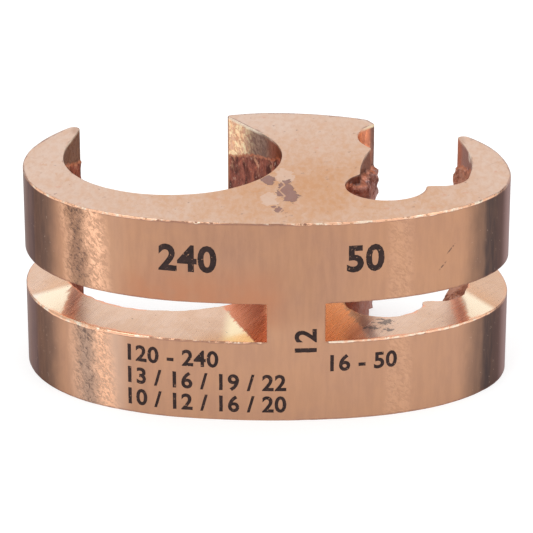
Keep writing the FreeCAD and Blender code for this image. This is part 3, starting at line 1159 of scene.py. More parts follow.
def grain_group():
    """Hammered grain: short leaning wrinkles, the pits between them, and patches of them."""
    tree, given, result = new_group("Hammered grain", [], ["Height", "Creases", "Patches"])
    leaning = tree.stretched(given["Vector"], (0.45, 0.8, 1.0), (0.0, WRINKLE_LEAN, 0.0))
    grain = tree.noise(leaning, given["Scale"], detail=5.0, roughness=0.62, distortion=0.7)
    tree.link(tree.ramp(grain, 0.36, 0.62), result["Height"])
    tree.link(tree.ramp(grain, 0.50, 0.41), result["Creases"])
    broader = tree.times(given["Scale"], 0.3)
    patch = tree.noise(given["Vector"], broader, detail=4.0, roughness=0.7)
    tree.link(tree.ramp(patch, 0.40, 0.58), result["Patches"])


def saw_marks_group():
    """Arcs that a round saw leaves: noise of the distance from the blade's centre.

    It changes slowly along the cut, so each line fades in and out.
    """
    tree, given, result = new_group("Saw marks", [], ["Height"])
    radius = tree.vector_math("DISTANCE", given["Vector"], BLADE_CENTRE)["Value"]
    along = tree.vector_math("DOT_PRODUCT", given["Vector"], CUT_ALONG)["Value"]
    inputs = {"X": radius, "Y": tree.times(along, SAW_LINE_CHANGE)}
    place = tree.add("ShaderNodeCombineXYZ", inputs).outputs[0]
    height = tree.noise(place, given["Scale"], detail=4.0, roughness=0.65)
    tree.link(height, result["Height"])


def start_material(name, metallic=1.0):
    """Return a new material, its tree, its shader's inputs and coordinates in millimetres."""
    material = bpy.data.materials.new(name)
    material.use_nodes = True
    tree = Tree(material.node_tree)
    shader = material.node_tree.nodes["Principled BSDF"].inputs
    shader["Metallic"].default_value = metallic
    place = tree.add("ShaderNodeTexCoord").outputs["Object"]
    return material, tree, shader, tree.in_millimetres(place)


def finish_material(tree, shader, colour, roughness, height, bump):
    """Link a colour, a roughness and a height to a shader's inputs."""
    tree.link(colour, shader["Base Color"])
    tree.link(roughness, shader["Roughness"])
    node = tree.add("ShaderNodeBump", {"Height": height, "Strength": 1.0, "Distance": bump})
    tree.link(node.outputs["Normal"], shader["Normal"])


# Places on the flat faces: centre, and reach across and along the depth, in millimetres.
WARM_PLACE = ((5.0, -7.0), (29.0, 26.0))
STAINS = (
    ((0.35, -4.6), (1.5, 2.4)),
    ((2.2, -7.4), (1.8, 5.0)),
    ((2.7, -9.4), (1.9, 3.2)),
    ((0.9, -12.7), (0.7, 0.7)),
    ((1.5, -13.5), (0.8, 1.9)),
)
PALE_SPOTS = (
    ((2.1, -3.4), (2.0, 4.0)),
    ((0.4, -10.4), (1.6, 4.0)),
)
RUST_SPOTS = (
    ((-25.2, 0.1), (0.9, 1.3)),
    ((-24.2, 1.0), (0.4, 0.6)),
    ((-23.5, -2.8), (0.4, 0.7)),
    ((-22.0, -4.7), (1.1, 1.3)),
)
TIP_SHADES = (
    ((22.3, 8.4), (1.0, 2.6)),
    ((-22.2, 11.6), (0.9, 2.0)),
)
SLOT_DARK_PATCHES = (
    ((13.3, -12.1), (2.0, 1.8)),
    ((11.6, -13.75), (1.8, 1.6)),
    ((13.55, -14.3), (1.4, 1.3)),
)


def near(tree, place, centre, reach):
    """Return 1 at a place on a flat face, falling to 0 at its reach across and along the depth."""
    offset = tree.vector_math("SUBTRACT", place, (*centre, 0.0))[0]
    across, depth = reach
    share = tree.vector_math("MULTIPLY", offset, (1.0 / across, 1.0 / depth, 0.0))[0]
    return tree.ramp(tree.vector_math("LENGTH", share)["Value"], 1.0, 0.0)


def strongest(tree, place, spots):
    """Return the largest of several places' masks."""
    total = 0.0
    for centre, reach in spots:
        total = tree.most(total, near(tree, place, centre, reach))
    return total


def slanted(tree, place, through, lean):
    """Return the distance past a line on a flat face, which leans from straight along the depth."""
    offset = tree.vector_math("SUBTRACT", place, (*through, 0.0))[0]
    lean = math.radians(lean)
    across = (math.cos(lean), math.sin(lean), 0.0)
    return tree.vector_math("DOT_PRODUCT", offset, across)["Value"]


# Sawn ends: where the line that parts the stains turns, and how dark the rim gets towards the tips,
# where it is painted shade on the rolled-off edge.
SAWN_BUMP = 0.008 * MM
SAWN_ROUGHNESS = (0.38, 0.46)
STAIN_LINE_START = 7.7
STAIN_LINE_TURN = 1.7
STAIN_LINE_SLOPE = 0.37
STAIN_LINE_X = 1.5
STAIN_LINE_WIDTH = (0.06, 0.16)
TIP_RIM_Y = (5.0, 10.0)


def warm_mottling(tree, drawn_out, place, cloudy):
    """Return how warm the sawn copper is: warmest over the post's foot, mottled and clouded."""
    broad = tree.pattern("Mottling", drawn_out, 0.26, Spread=0.14)["Mask"]
    warm = tree.plus(tree.times(near(tree, place, *WARM_PLACE), 0.72), tree.times(broad, 0.26))
    warm = tree.plus(warm, tree.centred(cloudy, 0.27))
    return tree.math("MULTIPLY", warm, 1.0, clamp=True)


def stained(tree, colour, place, ragged, tints):
    """Return the colour with purple-brown stains, which a thin zigzag line parts."""
    flecked = tree.plus(strongest(tree, place, STAINS), ragged)
    where = tree.axes(place)
    turns = tree.math("PINGPONG", tree.plus(where["Y"], STAIN_LINE_START), STAIN_LINE_TURN)
    line = tree.plus(tree.times(turns, STAIN_LINE_SLOPE), STAIN_LINE_X)
    line = tree.plus(line, tree.times(ragged, 0.25))
    from_line = tree.math("ABSOLUTE", tree.minus(where["X"], line))
    parted = tree.ramp(from_line, *STAIN_LINE_WIDTH, 0.15, 1.0)
    share = tree.times(tree.ramp(flecked, 0.44, 0.47), parted, 0.92)
    middle = tree.ramp(flecked, 0.48, 0.60)
    return tree.mix(share, colour, tree.mix(middle, scaled(tints.stain_and_shade, 0.62), tints.stain_and_shade))


def sawn_end_material(tints):
    """Satin ends of the bar: pale copper with warm mottling, specks, scratches and stains, and
    painted shade at the rim and towards the hook tips.
    """
    material, tree, shader, place = start_material("sawn_end")
    drawn_out = tree.stretched(place, (1.0, 0.45, 1.0))
    cloudy = tree.pattern("Mottling", drawn_out, 1.5, Spread=0.14)["Mask"]
    warm = warm_mottling(tree, drawn_out, place, cloudy)
    colour = tree.mix(warm, tints.cut_pale, tints.cut_warm)
    faint = tree.noise(drawn_out, 2.2, 6.0, 0.75)
    colour = tree.mix(tree.ramp(faint, 0.50, 0.75, 0.0, 0.17), colour, tints.drawn_cool)
    ragged = tree.centred(tree.noise(place, 0.9, 7.0, 0.62), 1.9)
    pale = tree.plus(strongest(tree, place, PALE_SPOTS), ragged)
    colour = tree.mix(tree.ramp(pale, 0.42, 0.47, 0.0, 0.6), colour, tints.cut_pale)
    specks = tree.pattern("Specks", place, 1.5, Share=0.08)["Mask"]
    colour = tree.mix(tree.times(specks, 0.6), colour, tints.stain_and_shade)
    rust = tree.pattern("Specks", place, 0.8, Share=0.10)["Mask"]
    colour = tree.mix(tree.times(rust, 0.35), colour, tints.burr_rim)
    scratches = tree.pattern("Scratches", place, 4.0, Share=0.28)["Mask"]
    colour = tree.mix(tree.times(scratches, 0.25), colour, tints.drawn_cool)
    crumbs = tree.centred(tree.noise(place, 2.4, 5.0, 0.7), 3.2)
    rusty = tree.plus(strongest(tree, place, RUST_SPOTS), crumbs)
    colour = tree.mix(tree.ramp(rusty, 0.62, 0.80, 0.0, 0.45), colour, tints.cut_warm)
    colour = stained(tree, colour, place, ragged, tints)
    shade = tree.ramp(strongest(tree, place, TIP_SHADES), 0.0, 0.7, 0.0, 0.4)
    colour = tree.mix(shade, colour, tints.drawn_cool)
    # Painted shade along the rim, darker towards the hook tips where the edge is rolled off.
    depth = tree.axes(place)["Y"]
    rim_start = tree.ramp(depth, *TIP_RIM_Y, 0.80, 0.62)
    rim_depth = tree.ramp(faint, 0.40, 0.60, 0.3, 0.7)
    rim_depth = tree.times(rim_depth, tree.ramp(depth, *TIP_RIM_Y, 1.0, 1.3))
    rim = tree.times(tree.ramp(tree.mask("worn"), rim_start, 0.97), rim_depth)
    colour = tree.mix(rim, colour, tints.stain_and_shade)
    saw = tree.pattern("Saw marks", place, 5.0)["Height"]
    fine = tree.noise(place, 9.0, 3.0, 0.6)
    height = tree.plus(tree.times(saw, 0.2), tree.times(fine, 0.5))
    height = tree.minus(height, tree.times(scratches, 0.3))
    roughness = tree.ramp(cloudy, 0.0, 1.0, *SAWN_ROUGHNESS)
    finish_material(tree, shader, colour, roughness, height, SAWN_BUMP)
    return material


# Painted reflections: bands across the slot faces that stand in for the walls and hooks mirrored
# in them. Each gives a point on the sharp line and its lean in degrees, the limits past the line
# and their fade in millimetres, the tint and its strength.
REFLECTION_BANDS = (
    ((-3.0, -12.6), 20.4, (0.0, 9.0, 0.5), "slot_glow", 0.85),
    ((-22.45, -7.2), -4.0, (0.0, 1.5, 0.8), "slot_glow", 0.5),
    ((-22.45, -7.2), -4.0, (0.1, 0.9, 0.8), "stain_and_shade", 0.55),
    ((10.2, -12.6), 14.9, (0.2, 1.3, 0.8), "stain_and_shade", 0.5),
    ((10.2, -12.6), 14.9, (-9.0, 0.0, 0.5), "slot_orange", 0.92),
    ((22.3, -7.8), 5.9, (-1.3, 0.0, 0.9), "slot_glow", 0.6),
    ((22.3, -7.8), 5.9, (-0.9, -0.2, 0.6), "stain_and_shade", 0.35),
    ((22.3, -7.8), 5.9, (1.5, 9.0, 1.0), "cut_warm", 0.34),
)

# Painted reflections: wedges of light mirrored between the slot faces. Each gives the line that
# bounds it on one side, which side it lies on, the second line, how soft that side is, the tint
# and how much the wedge slopes down from the first line.
SHINING_WEDGES = (
    ((-3.0, -12.6), 20.4, -1.0, (-5.0, -12.4), -3.2, 1.6, "painted_highlight", 0.13),
    ((-22.45, -7.2), -4.0, -1.0, (-22.2, -0.9), -53.0, 1.2, "gleam", 0.0),
    ((22.3, -7.8), 5.9, 1.0, (24.3, -5.0), -149.0, 1.1, "gleam", 0.0),
)
WEDGE_REACH = 6.0
WEDGE_STRENGTH = 0.97
SLOT_BUMP = 0.005
SLOT_ROUGHNESS = (0.22, 0.30)
WEDGE_ROUGHNESS = 0.13
UNDERSIDE_Z = (11.0, 12.5)
OVER_HOOKS_X = (19.0, 22.0)
SLOT_RIM_X = (22.0, 25.0)


def painted_reflections(tree, colour, place, streaky, tints):
    """Return the colour with the painted reflection bands, whose lines the saw marks make ragged.
    """
    for through, lean, limits, tint_name, strength in REFLECTION_BANDS:
        past = tree.plus(slanted(tree, place, through, lean), streaky)
        share = tree.times(tree.band(past, *limits), strength)
        colour = tree.mix(share, colour, getattr(tints, tint_name))
    return colour


def reflection_wedges(tree, colour, place, streaky, tints):
    """Return the colour with the painted reflection wedges, their mask and how deep they are sunk.
    """
    shining, sunk = 0.0, 0.0
    for through, lean, side, second, second_lean, fade, tint_name, slope in SHINING_WEDGES:
        past = slanted(tree, place, through, lean)
        dish = tree.least(tree.most(tree.times(past, side), 0.0), WEDGE_REACH)
        sunk = tree.plus(sunk, tree.times(dish, slope / SLOT_BUMP))
        first = tree.ramp(tree.times(tree.plus(past, streaky), side), -0.1, 0.35)
        other = slanted(tree, place, second, second_lean)
        shone = tree.times(first, tree.ramp(other, -0.1, fade, 0.0, WEDGE_STRENGTH))
        colour = tree.mix(shone, colour, getattr(tints, tint_name))
        shining = tree.most(shining, shone)
    return colour, shining, sunk


def saw_slot_material(tints):
    """Faces of the saw slots: fresh copper with lines across the lobe, painted reflections by the
    web.
    """
    material, tree, shader, place = start_material("saw_slot")
    saw = tree.pattern("Saw marks", place, 2.6)["Height"]
    fine = tree.pattern("Saw marks", place, 7.0)["Height"]
    height = tree.plus(tree.times(saw, 0.7), tree.times(fine, 0.3))
    line = tree.ramp(saw, 0.38, 0.66)
    colour = tree.mix(tree.times(line, 0.3), tints.slot, tints.cut_pale)
    colour = tree.mix(tree.ramp(saw, 0.44, 0.36, 0.0, 0.15), colour, tints.cut_warm)
    mottle = tree.pattern("Mottling", place, 0.3, Spread=0.12)["Mask"]
    colour = tree.mix(tree.times(mottle, 0.3), colour, tints.cut_warm)
    ragged = tree.centred(tree.noise(place, 1.3, 6.0, 0.7), 0.9)
    streaky = tree.plus(ragged, tree.centred(saw, 1.6))
    # Painted reflections of the walls and hooks across the slot faces.
    colour = painted_reflections(tree, colour, place, streaky, tints)
    # Painted highlights: bright wedges of light mirrored between the slot faces.
    colour, shining, sunk = reflection_wedges(tree, colour, place, streaky, tints)
    height = tree.times(height, tree.ramp(shining, 0.0, 1.0, 1.0, 0.35))
    height = tree.minus(height, sunk)
    # Dark patches on the slot faces near the small side of the web.
    broken = tree.centred(tree.noise(place, 2.0, 4.0, 0.6), 3.4)
    dark_patches = tree.plus(strongest(tree, place, SLOT_DARK_PATCHES), broken)
    colour = tree.mix(tree.ramp(dark_patches, 0.66, 0.70, 0.0, 0.75), colour, tints.tarnish_and_shade)
    where = tree.axes(place)
    from_middle = tree.math("ABSOLUTE", where["X"])
    rim = tree.ramp(from_middle, *SLOT_RIM_X, 0.6, 0.12)
    rim = tree.times(tree.ramp(tree.mask("worn"), 0.55, 0.9), rim)
    colour = tree.mix(rim, colour, tints.slot_glow)
    # Painted light: the upper lobe's underside and the top of the web's sides are paler, palest
    # over the hooks, as if lit by light bounced between the slot faces.
    over_hooks = tree.ramp(from_middle, *OVER_HOOKS_X, 0.0, 0.8)
    pale = tree.mix(over_hooks, tints.painted_highlight, tints.gleam)
    colour = tree.mix(tree.ramp(where["Z"], *UNDERSIDE_Z, 0.0, 0.75), colour, pale)
    roughness = tree.ramp(saw, 0.3, 0.7, *SLOT_ROUGHNESS)
    roughness = tree.ramp(shining, 0.0, 1.0, roughness, WEDGE_ROUGHNESS)
    finish_material(tree, shader, colour, roughness, height, SLOT_BUMP * MM)
    return material


# Worn edges with painted highlights: heights and places in millimetres, between which each effect
# fades.
BETWEEN_LOBES = (12.0, 10.0)
EDGE_CALM_CENTRE_X = -4.0
EDGE_CALM_REACH = (6.0, 11.0)
EDGE_FAR_Y = (-2.0, 6.0)
LARGE_EDGE_X = (-24.0, -14.0, 2.0)
SMALL_EDGE_X = (4.0, 23.5, 2.0)
EDGE_ENDS_X = ((25.0, 26.2, 1.0, 0.3), (-25.6, -26.4, 1.0, 0.4))


def edge_wear_and_highlight(tree, colour, place, tints):
    """Return the colour with worn edges, burnished and with painted highlights: golden with white
    gleams, broken by dark nicks.

    The edges of the far side are dark, and so are most of those over the middle of the back. The
    lower lobe's edge is brighter than the upper one's. A darker line of painted shadow runs beside
    the gold.
    """
    worn = tree.mask("worn")
    where = tree.axes(place)
    broken = tree.noise(place, 1.5, 6.0, 0.7)
    calm = tree.math("ABSOLUTE", tree.minus(where["X"], EDGE_CALM_CENTRE_X))
    calm = tree.ramp(calm, *EDGE_CALM_REACH, 0.10, 0.0)
    far = tree.ramp(where["Y"], *EDGE_FAR_Y, 0.0, 0.25)
    level = tree.minus(broken, tree.plus(calm, far))
    for limits, gain in ((LARGE_EDGE_X, 0.2), (SMALL_EDGE_X, 0.14)):
        lower = tree.ramp(where["Z"], *BETWEEN_LOBES, 0.0, gain)
        level = tree.plus(level, tree.times(tree.band(where["X"], *limits), lower))
    # Painted highlights: white gleams along the golden edges.
    gleam = tree.ramp(tree.noise(place, 0.8, 4.0, 0.7), 0.46, 0.60)
    shine = tree.mix(gleam, tints.golden, tints.bright)
    bright = tree.times(tree.ramp(worn, 0.2, 0.6), tree.ramp(level, 0.36, 0.46))
    for limits in EDGE_ENDS_X:
        bright = tree.times(bright, tree.ramp(where["X"], *limits))
    colour = tree.mix(tree.times(bright, 0.95), colour, shine)
    nicks = tree.times(worn, tree.ramp(level, 0.37, 0.32), 0.7)
    colour = tree.mix(nicks, colour, tints.stain_and_shade)
    # Painted shadow: a dark line just beside the bright edge.
    beside = tree.times(tree.ramp(worn, 0.06, 0.2), tree.ramp(worn, 0.55, 0.3))
    beside = tree.times(beside, tree.ramp(broken, 0.40, 0.55, 0.1, 0.6))
    return tree.mix(beside, colour, tints.stain_and_shade)


# Nicks in the back wall: centre across and up, half length and half width, in millimetres.
NICKS = (((20.35, 18.75), 0.85), ((19.45, 16.95), 0.75))
NICK_WIDTH = 0.11
NICK_LEAN = math.radians(48.0)


def nick_marks(tree, place):
    """Short leaning dashes: thin across their line, limited along it, broken by noise."""
    along = (math.cos(NICK_LEAN), 0.0, math.sin(NICK_LEAN))
    across = (-math.sin(NICK_LEAN), 0.0, math.cos(NICK_LEAN))
    total = 0.0
    for (x, z), half in NICKS:
        offset = tree.vector_math("SUBTRACT", place, (x, 0.0, z))[0]
        mark = 1.0
        for direction, reach in ((along, half), (across, NICK_WIDTH)):
            distance = tree.vector_math("DOT_PRODUCT", offset, direction)["Value"]
            distance = tree.math("ABSOLUTE", distance)
            mark = tree.times(mark, tree.ramp(distance, reach, 0.3 * reach))
        total = tree.most(total, mark)
    front = tree.ramp(tree.axes(place)["Y"], 0.0, -2.0)
    broken = tree.ramp(tree.noise(place, 2.6, 4.0), 0.38, 0.5)
    return tree.times(total, broken, front)


# Drawn wall: places in millimetres between which each effect fades.
DRAWN_BUMP = 0.03 * MM
DRAWN_ROUGHNESS = (0.30, 0.38)
DRAWN_SPECULAR = (0.50, 0.44, 0.43, 1.0)
UPPER_WALL_Z = (10.0, 13.0)
COOL_CENTRE_X = -2.0
COOL_REACH = (14.0, 8.0)
HIGHLIGHT_BAND_X = (-21.2, -15.5, 2.4)
ABOVE_SLOT_Z = (19.5, 14.2)
ABOVE_SLOT_X = (-15.5, 1.5, 4.0)
GOLDEN_SIDE_X = (6.0, 4.0)
GREY_SMALL_X = (25.2, 26.6)
ASHEN_SMALL_X = (26.2, 27.2)
ASHEN_LARGE_X = (-25.5, -26.4)


def drawn_copper(tree, place, where, upper, streaks, tints):
    """Return the drawn wall's bare colour: cool streaks, warm mottling, paler places with a painted
    highlight band, and redder places.
    """
    from_middle = tree.math("ABSOLUTE", tree.minus(where["X"], COOL_CENTRE_X))
    middle = tree.times(tree.ramp(from_middle, *COOL_REACH, 0.0, 0.5), upper)
    cool = tree.plus(tree.ramp(streaks, 0.36, 0.64, 0.0, 0.35), middle)
    colour = tree.mix(tree.least(cool, 1.0), tints.drawn, tints.drawn_cool)
    mottle = tree.pattern("Mottling", place, 0.16, Spread=0.2)["Mask"]
    colour = tree.mix(tree.times(mottle, 0.25), colour, tints.cut_warm)
    # Painted highlight: a pale band on the large side, strongest on the lower lobe.
    pale = tree.times(tree.band(where["X"], *HIGHLIGHT_BAND_X), tree.ramp(upper, 0.0, 1.0, 0.45, 0.08))
    colour = tree.mix(pale, colour, tints.cut_pale)
    colour = tree.mix(tree.ramp(upper, 0.0, 1.0, 0.045, 0.0), colour, tints.cut_pale)
    redder = tree.times(tree.ramp(where["Z"], *ABOVE_SLOT_Z), upper)
    redder = tree.times(redder, tree.band(where["X"], *ABOVE_SLOT_X))
    redder = tree.times(redder, tree.ramp(tree.noise(place, 0.35, 4.0, 0.6), 0.35, 0.6, 0.55, 1.0))
    return tree.mix(redder, colour, tints.drawn_warm)


def hammered_copper(tree, colour, where, grain, hammered, tints):
    """Return the colour with golden crests, a painted highlight, and dark creases in the hammered
    bands.
    """
    scorched = tree.mask("scorched")
    # Painted highlight: the hammered band's crests are golden.
    large_side = tree.ramp(where["X"], *GOLDEN_SIDE_X, 0.35, 1.0)
    gold = tree.times(hammered, tree.minus(1.0, scorched))
    gold = tree.times(gold, tree.ramp(grain["Height"], 0.1, 0.8, 0.45, 1.0), large_side)
    colour = tree.mix(gold, colour, tints.golden)
    dark = tree.times(scorched, tree.ramp(grain["Creases"], 0.0, 1.0, 0.34, 0.95))
    dark = tree.times(dark, tree.ramp(grain["Patches"], 0.0, 1.0, 0.45, 1.0))
    creases = tree.times(hammered, grain["Creases"], 0.2, large_side)
    return tree.mix(tree.times(tree.most(dark, creases), 0.8), colour, tints.tarnish_and_shade)


def darkened_flanks(tree, colour, place, where, upper, upright, tints):
    """Return the colour with brown-grey flanks of tarnish and painted shade, their paler outermost
    strips of painted reflection, and dust on them.
    """
    tarnish_and_shade = tree.mask("flank_darkening")
    wisps = tree.ramp(tree.noise(upright, 1.6, 5.0, 0.6), 0.3, 0.7, 0.88, 1.0)
    colour = tree.mix(tree.times(tarnish_and_shade, wisps), colour, tints.tarnish_and_shade)
    # Painted reflection: the wall's outermost strips, seen edge-on, are greyed.
    greyed = tree.times(tree.ramp(where["X"], *GREY_SMALL_X), 0.8)
    colour = tree.mix(greyed, colour, tints.dark_reflection)
    ashen = tree.ramp(upper, 0.0, 1.0, 0.30, 0.18)
    ashen = tree.times(tree.ramp(where["X"], *ASHEN_LARGE_X), ashen)
    ashen = tree.most(ashen, tree.ramp(where["X"], *ASHEN_SMALL_X, 0.0, 0.65))
    colour = tree.mix(ashen, colour, tints.ashen)
    dust = tree.pattern("Specks", place, 2.4, Share=0.14)["Mask"]
    return tree.mix(tree.times(dust, tarnish_and_shade, 0.35), colour, tints.cut_pale)


def outer_wall_material(tints):
    """Drawn outer wall: tan copper with upright streaks, hammered bands and dark flanks."""
    material, tree, shader, place = start_material("drawn_wall")
    wall_map = tree.add("ShaderNodeUVMap", uv_map="wall_map").outputs[0]
    upright = tree.stretched(tree.in_millimetres(wall_map), (1.0, 0.16, 1.0))
    streaks = tree.noise(upright, 1.3, 6.0, 0.62)
    where = tree.axes(place)
    upper = tree.ramp(where["Z"], *UPPER_WALL_Z)
    colour = drawn_copper(tree, place, where, upper, streaks, tints)
    grain = tree.pattern("Hammered grain", place, 3.1)
    hammered = tree.mask("hammered")
    colour = hammered_copper(tree, colour, where, grain, hammered, tints)
    colour = darkened_flanks(tree, colour, place, where, upper, upright, tints)
    colour = tree.mix(tree.times(nick_marks(tree, place), 0.8), colour, tints.tarnish_and_shade)
    colour = edge_wear_and_highlight(tree, colour, place, tints)
    height = tree.times(streaks, 0.2)
    height = tree.plus(height, tree.times(tree.noise(place, 8.0, 3.0, 0.6), 0.10))
    height = tree.plus(height, tree.times(grain["Height"], hammered, 1.7))
    roughness = tree.ramp(streaks, 0.3, 0.7, *DRAWN_ROUGHNESS)
    shader["Specular Tint"].default_value = DRAWN_SPECULAR
    finish_material(tree, shader, colour, roughness, height, DRAWN_BUMP)
    return material


# Groove walls: places in millimetres between which each effect fades.
GROOVE_BUMP = 0.05 * MM
GROOVE_ROUGHNESS = (0.30, 0.42)
GROOVE_SPECULAR = (0.42, 0.30, 0.26, 1.0)
SMALL_GROOVE_X = (4.0, 6.0)
SMALL_HOOK_FROM_X = (14.0, 18.0)
UPPER_EDGE_Z = (14.0, 20.0)
HIGHLIGHT_PLACE = ((-3.6, 15.0), (4.6, 6.5))
LIP_Y = (13.1, 13.6)
SCALLOP_TOP_Y = (11.6, 13.2)
SCALLOP_TOP_Z = (22.95, 23.3)
RED_END_X = (0.3, 3.0, 1.2)
RED_TIP_Y = (6.8, 8.4)
SPARK_PLACE = ((23.3, 3.6), (1.4, 1.3))
SPARK_Z = (22.3, 22.9)
SEAT_GREY_Y = (-5.0, -1.0)
PALE_EDGE_X = (-0.5, -1.5)
TORN_TOP_Z = 23.7
TORN_TOP_FALL = 0.3


def lead_in_copper(tree, place, where, upright, grain, small_side, hook, tints):
    """Return the colour of the smooth lead-in: painted highlights on the post, glowing on the small
    side.
    """
    colour = tree.mix(tree.times(grain["Patches"], 0.5), tints.slot, tints.cut_warm)
    # Painted highlight: gleams on the hammered lead-in beside the post.
    painted_highlight = tree.ramp(near(tree, place, *HIGHLIGHT_PLACE), 0.1, 0.5)
    painted_highlight = tree.times(painted_highlight, tree.ramp(grain["Height"], 0.1, 0.8))
    colour = tree.mix(tree.times(painted_highlight, 0.9), colour, tints.slot_orange)
    gleams = tree.ramp(tree.noise(place, 0.8, 6.0, 0.7), 0.36, 0.60, 0.15, 1.0)
    gleams = tree.times(gleams, tree.ramp(grain["Height"], 0.2, 0.8, 0.35, 1.0))
    colour = tree.mix(tree.times(painted_highlight, gleams), colour, tints.painted_highlight)
    creases = tree.times(grain["Creases"], tree.ramp(small_side, 0.0, 1.0, 0.28, 0.1))
    colour = tree.mix(creases, colour, tints.burr_rim)
    glow = tree.ramp(tree.noise(upright, 1.1, 4.0, 0.6), 0.42, 0.62)
    glow = tree.mix(glow, tints.burr_rim, tints.slot_glow)
    colour = tree.mix(tree.times(small_side, 0.9), colour, glow)
    # Painted shade beside the post's lip on the small side.
    lip = tree.times(tree.ramp(where["Y"], *LIP_Y), small_side, 0.85)
    colour = tree.mix(lip, colour, tints.dark_reflection)
    # Painted highlight at the top of the small side's scallop.
    top = tree.times(tree.ramp(where["Y"], *SCALLOP_TOP_Y), tree.ramp(where["Z"], *SCALLOP_TOP_Z))
    top = tree.math("SUBTRACT", tree.times(top, small_side), hook, clamp=True)
    colour = tree.mix(tree.times(top, 0.85), colour, tints.painted_highlight)
    # Painted shade on the hooks, the neck and the scallops, partly grey-pink.
    dark_reflection = tree.times(tree.mask("dark_reflection"), tree.ramp(grain["Height"], 0.0, 1.0, 1.0, 0.85))
    colour = tree.mix(tree.times(dark_reflection, 0.95), colour, tints.dark_reflection)
    ashes = tree.plus(tree.times(hook, 0.5), tree.times(small_side, 0.2))
    colour = tree.mix(tree.times(dark_reflection, ashes), colour, tints.ashen)
    red_end = tree.times(tree.band(where["X"], *RED_END_X), 0.75)
    colour = tree.mix(red_end, colour, scaled(tints.torn, 0.75))
    red_tip = tree.times(hook, tree.ramp(where["Y"], *RED_TIP_Y), 0.6)
    colour = tree.mix(red_tip, colour, tints.burr_rim)
    spark = tree.times(near(tree, place, *SPARK_PLACE), tree.ramp(where["Z"], *SPARK_Z))
    return tree.mix(tree.ramp(spark, 0.1, 0.5, 0.0, 0.85), colour, tints.gleam)


def torn_copper(tree, place, where, upright, clots, fibres, small_side, hook, tints):
    """Return the colour of the torn band: dark pits, red-orange crests, pale flecks and patches."""
    colour = tree.mix(tree.ramp(clots, 0.34, 0.60), tints.torn_dark, tints.torn)
    colour = tree.mix(tree.ramp(fibres, 0.48, 0.30, 0.0, 0.5), colour, tints.torn_dark)
    colour = tree.mix(tree.ramp(clots, 0.56, 0.72, 0.0, 0.7), colour, tints.burr_rim)
    colour = tree.mix(tree.times(small_side, 0.5), colour, tints.burr_rim)
    greyed = tree.times(small_side, tree.ramp(where["Y"], *SEAT_GREY_Y))
    greyed = tree.times(greyed, tree.ramp(fibres, 0.42, 0.56, 0.35, 0.8))
    colour = tree.mix(greyed, colour, tints.ashen)
    flecks = tree.ramp(tree.noise(upright, 3.0, 4.0, 0.6), 0.60, 0.68)
    colour = tree.mix(tree.times(flecks, 0.6), colour, tints.cut_pale)
    top = tree.minus(TORN_TOP_Z, tree.times(where["Y"], TORN_TOP_FALL))
    lighter = tree.ramp(tree.minus(top, where["Z"]), 2.6, 0.6)
    patchy = tree.ramp(tree.noise(place, 0.7, 4.0, 0.6), 0.50, 0.62, 0.0, 0.5)
    colour = tree.mix(tree.times(lighter, patchy), colour, tints.golden)
    return tree.mix(tree.times(hook, 0.35), colour, tints.golden)


def groove_wall_material(tints):
    """Groove walls: bright hammered lead-in above a torn red-brown band."""
    material, tree, shader, place = start_material("groove_wall")
    torn = tree.mask("torn")
    where = tree.axes(place)
    small_side = tree.ramp(where["X"], *SMALL_GROOVE_X)
    hook = tree.ramp(where["X"], *SMALL_HOOK_FROM_X)
    upright = tree.stretched(place, (1.0, 1.0, 0.6))
    clots = tree.noise(upright, 0.9, 8.0, 0.62, 0.6)
    fibres = tree.noise(upright, 2.6, 8.0, 0.7, 0.4)
    grain = tree.pattern("Hammered grain", place, 2.1)
    smooth_part = lead_in_copper(tree, place, where, upright, grain, small_side, hook, tints)
    rough_part = torn_copper(tree, place, where, upright, clots, fibres, small_side, hook, tints)
    colour = tree.mix(torn, smooth_part, rough_part)
    rim = tree.times(torn, tree.minus(1.0, torn), tree.ramp(fibres, 0.35, 0.6, 1.2, 3.0))
    colour = tree.mix(tree.least(rim, 1.0), colour, tints.burr_rim)
    worn = tree.mask("worn")
    upper = tree.ramp(where["Z"], *UPPER_EDGE_Z)
    red_edge = tree.times(worn, tree.ramp(upper, 0.0, 1.0, 0.6, 0.0))
    colour = tree.mix(red_edge, colour, tints.burr_rim)
    pale_edge = tree.times(worn, tree.ramp(upper, 0.0, 1.0, 0.0, 0.5))
    pale_edge = tree.times(pale_edge, tree.ramp(where["X"], *PALE_EDGE_X, 1.0, 1.8))
    colour = tree.mix(pale_edge, colour, tints.bright)
    height = tree.times(tree.plus(clots, fibres), torn, 2.2)
    height = tree.plus(height, tree.times(grain["Height"], 0.55))
    roughness = tree.ramp(torn, 0.0, 1.0, *GROOVE_ROUGHNESS)
    shader["Specular Tint"].default_value = GROOVE_SPECULAR
    finish_material(tree, shader, colour, roughness, height, GROOVE_BUMP)
    return material


INK_BUMP = 0.008 * MM
INK_ROUGHNESS = (0.42, 0.55)


def ink_material(tints):
    """Dull printing ink with pinholes that let the copper show."""
    material, tree, shader, place = start_material("printing_ink")
    pinholes = tree.ramp(tree.noise(place, 3.0, 5.0, 0.7), 0.61, 0.67)
    shader["Specular IOR Level"].default_value = 0.15
    cloudy = tree.noise(place, 1.2, 3.0)
    colour = tree.mix(tree.ramp(cloudy, 0.3, 0.7), tints.ink, scaled(tints.ink, 1.8))
    colour = tree.mix(pinholes, colour, tints.drawn)
    tree.link(pinholes, shader["Metallic"])
    roughness = tree.ramp(cloudy, 0.3, 0.7, *INK_ROUGHNESS)
    finish_material(tree, shader, colour, roughness, cloudy, INK_BUMP)
    return material


def make_groups():
    """Build the shared node groups once."""
    mottling_group()
    specks_group()
    scratches_group()
    grain_group()
    saw_marks_group()


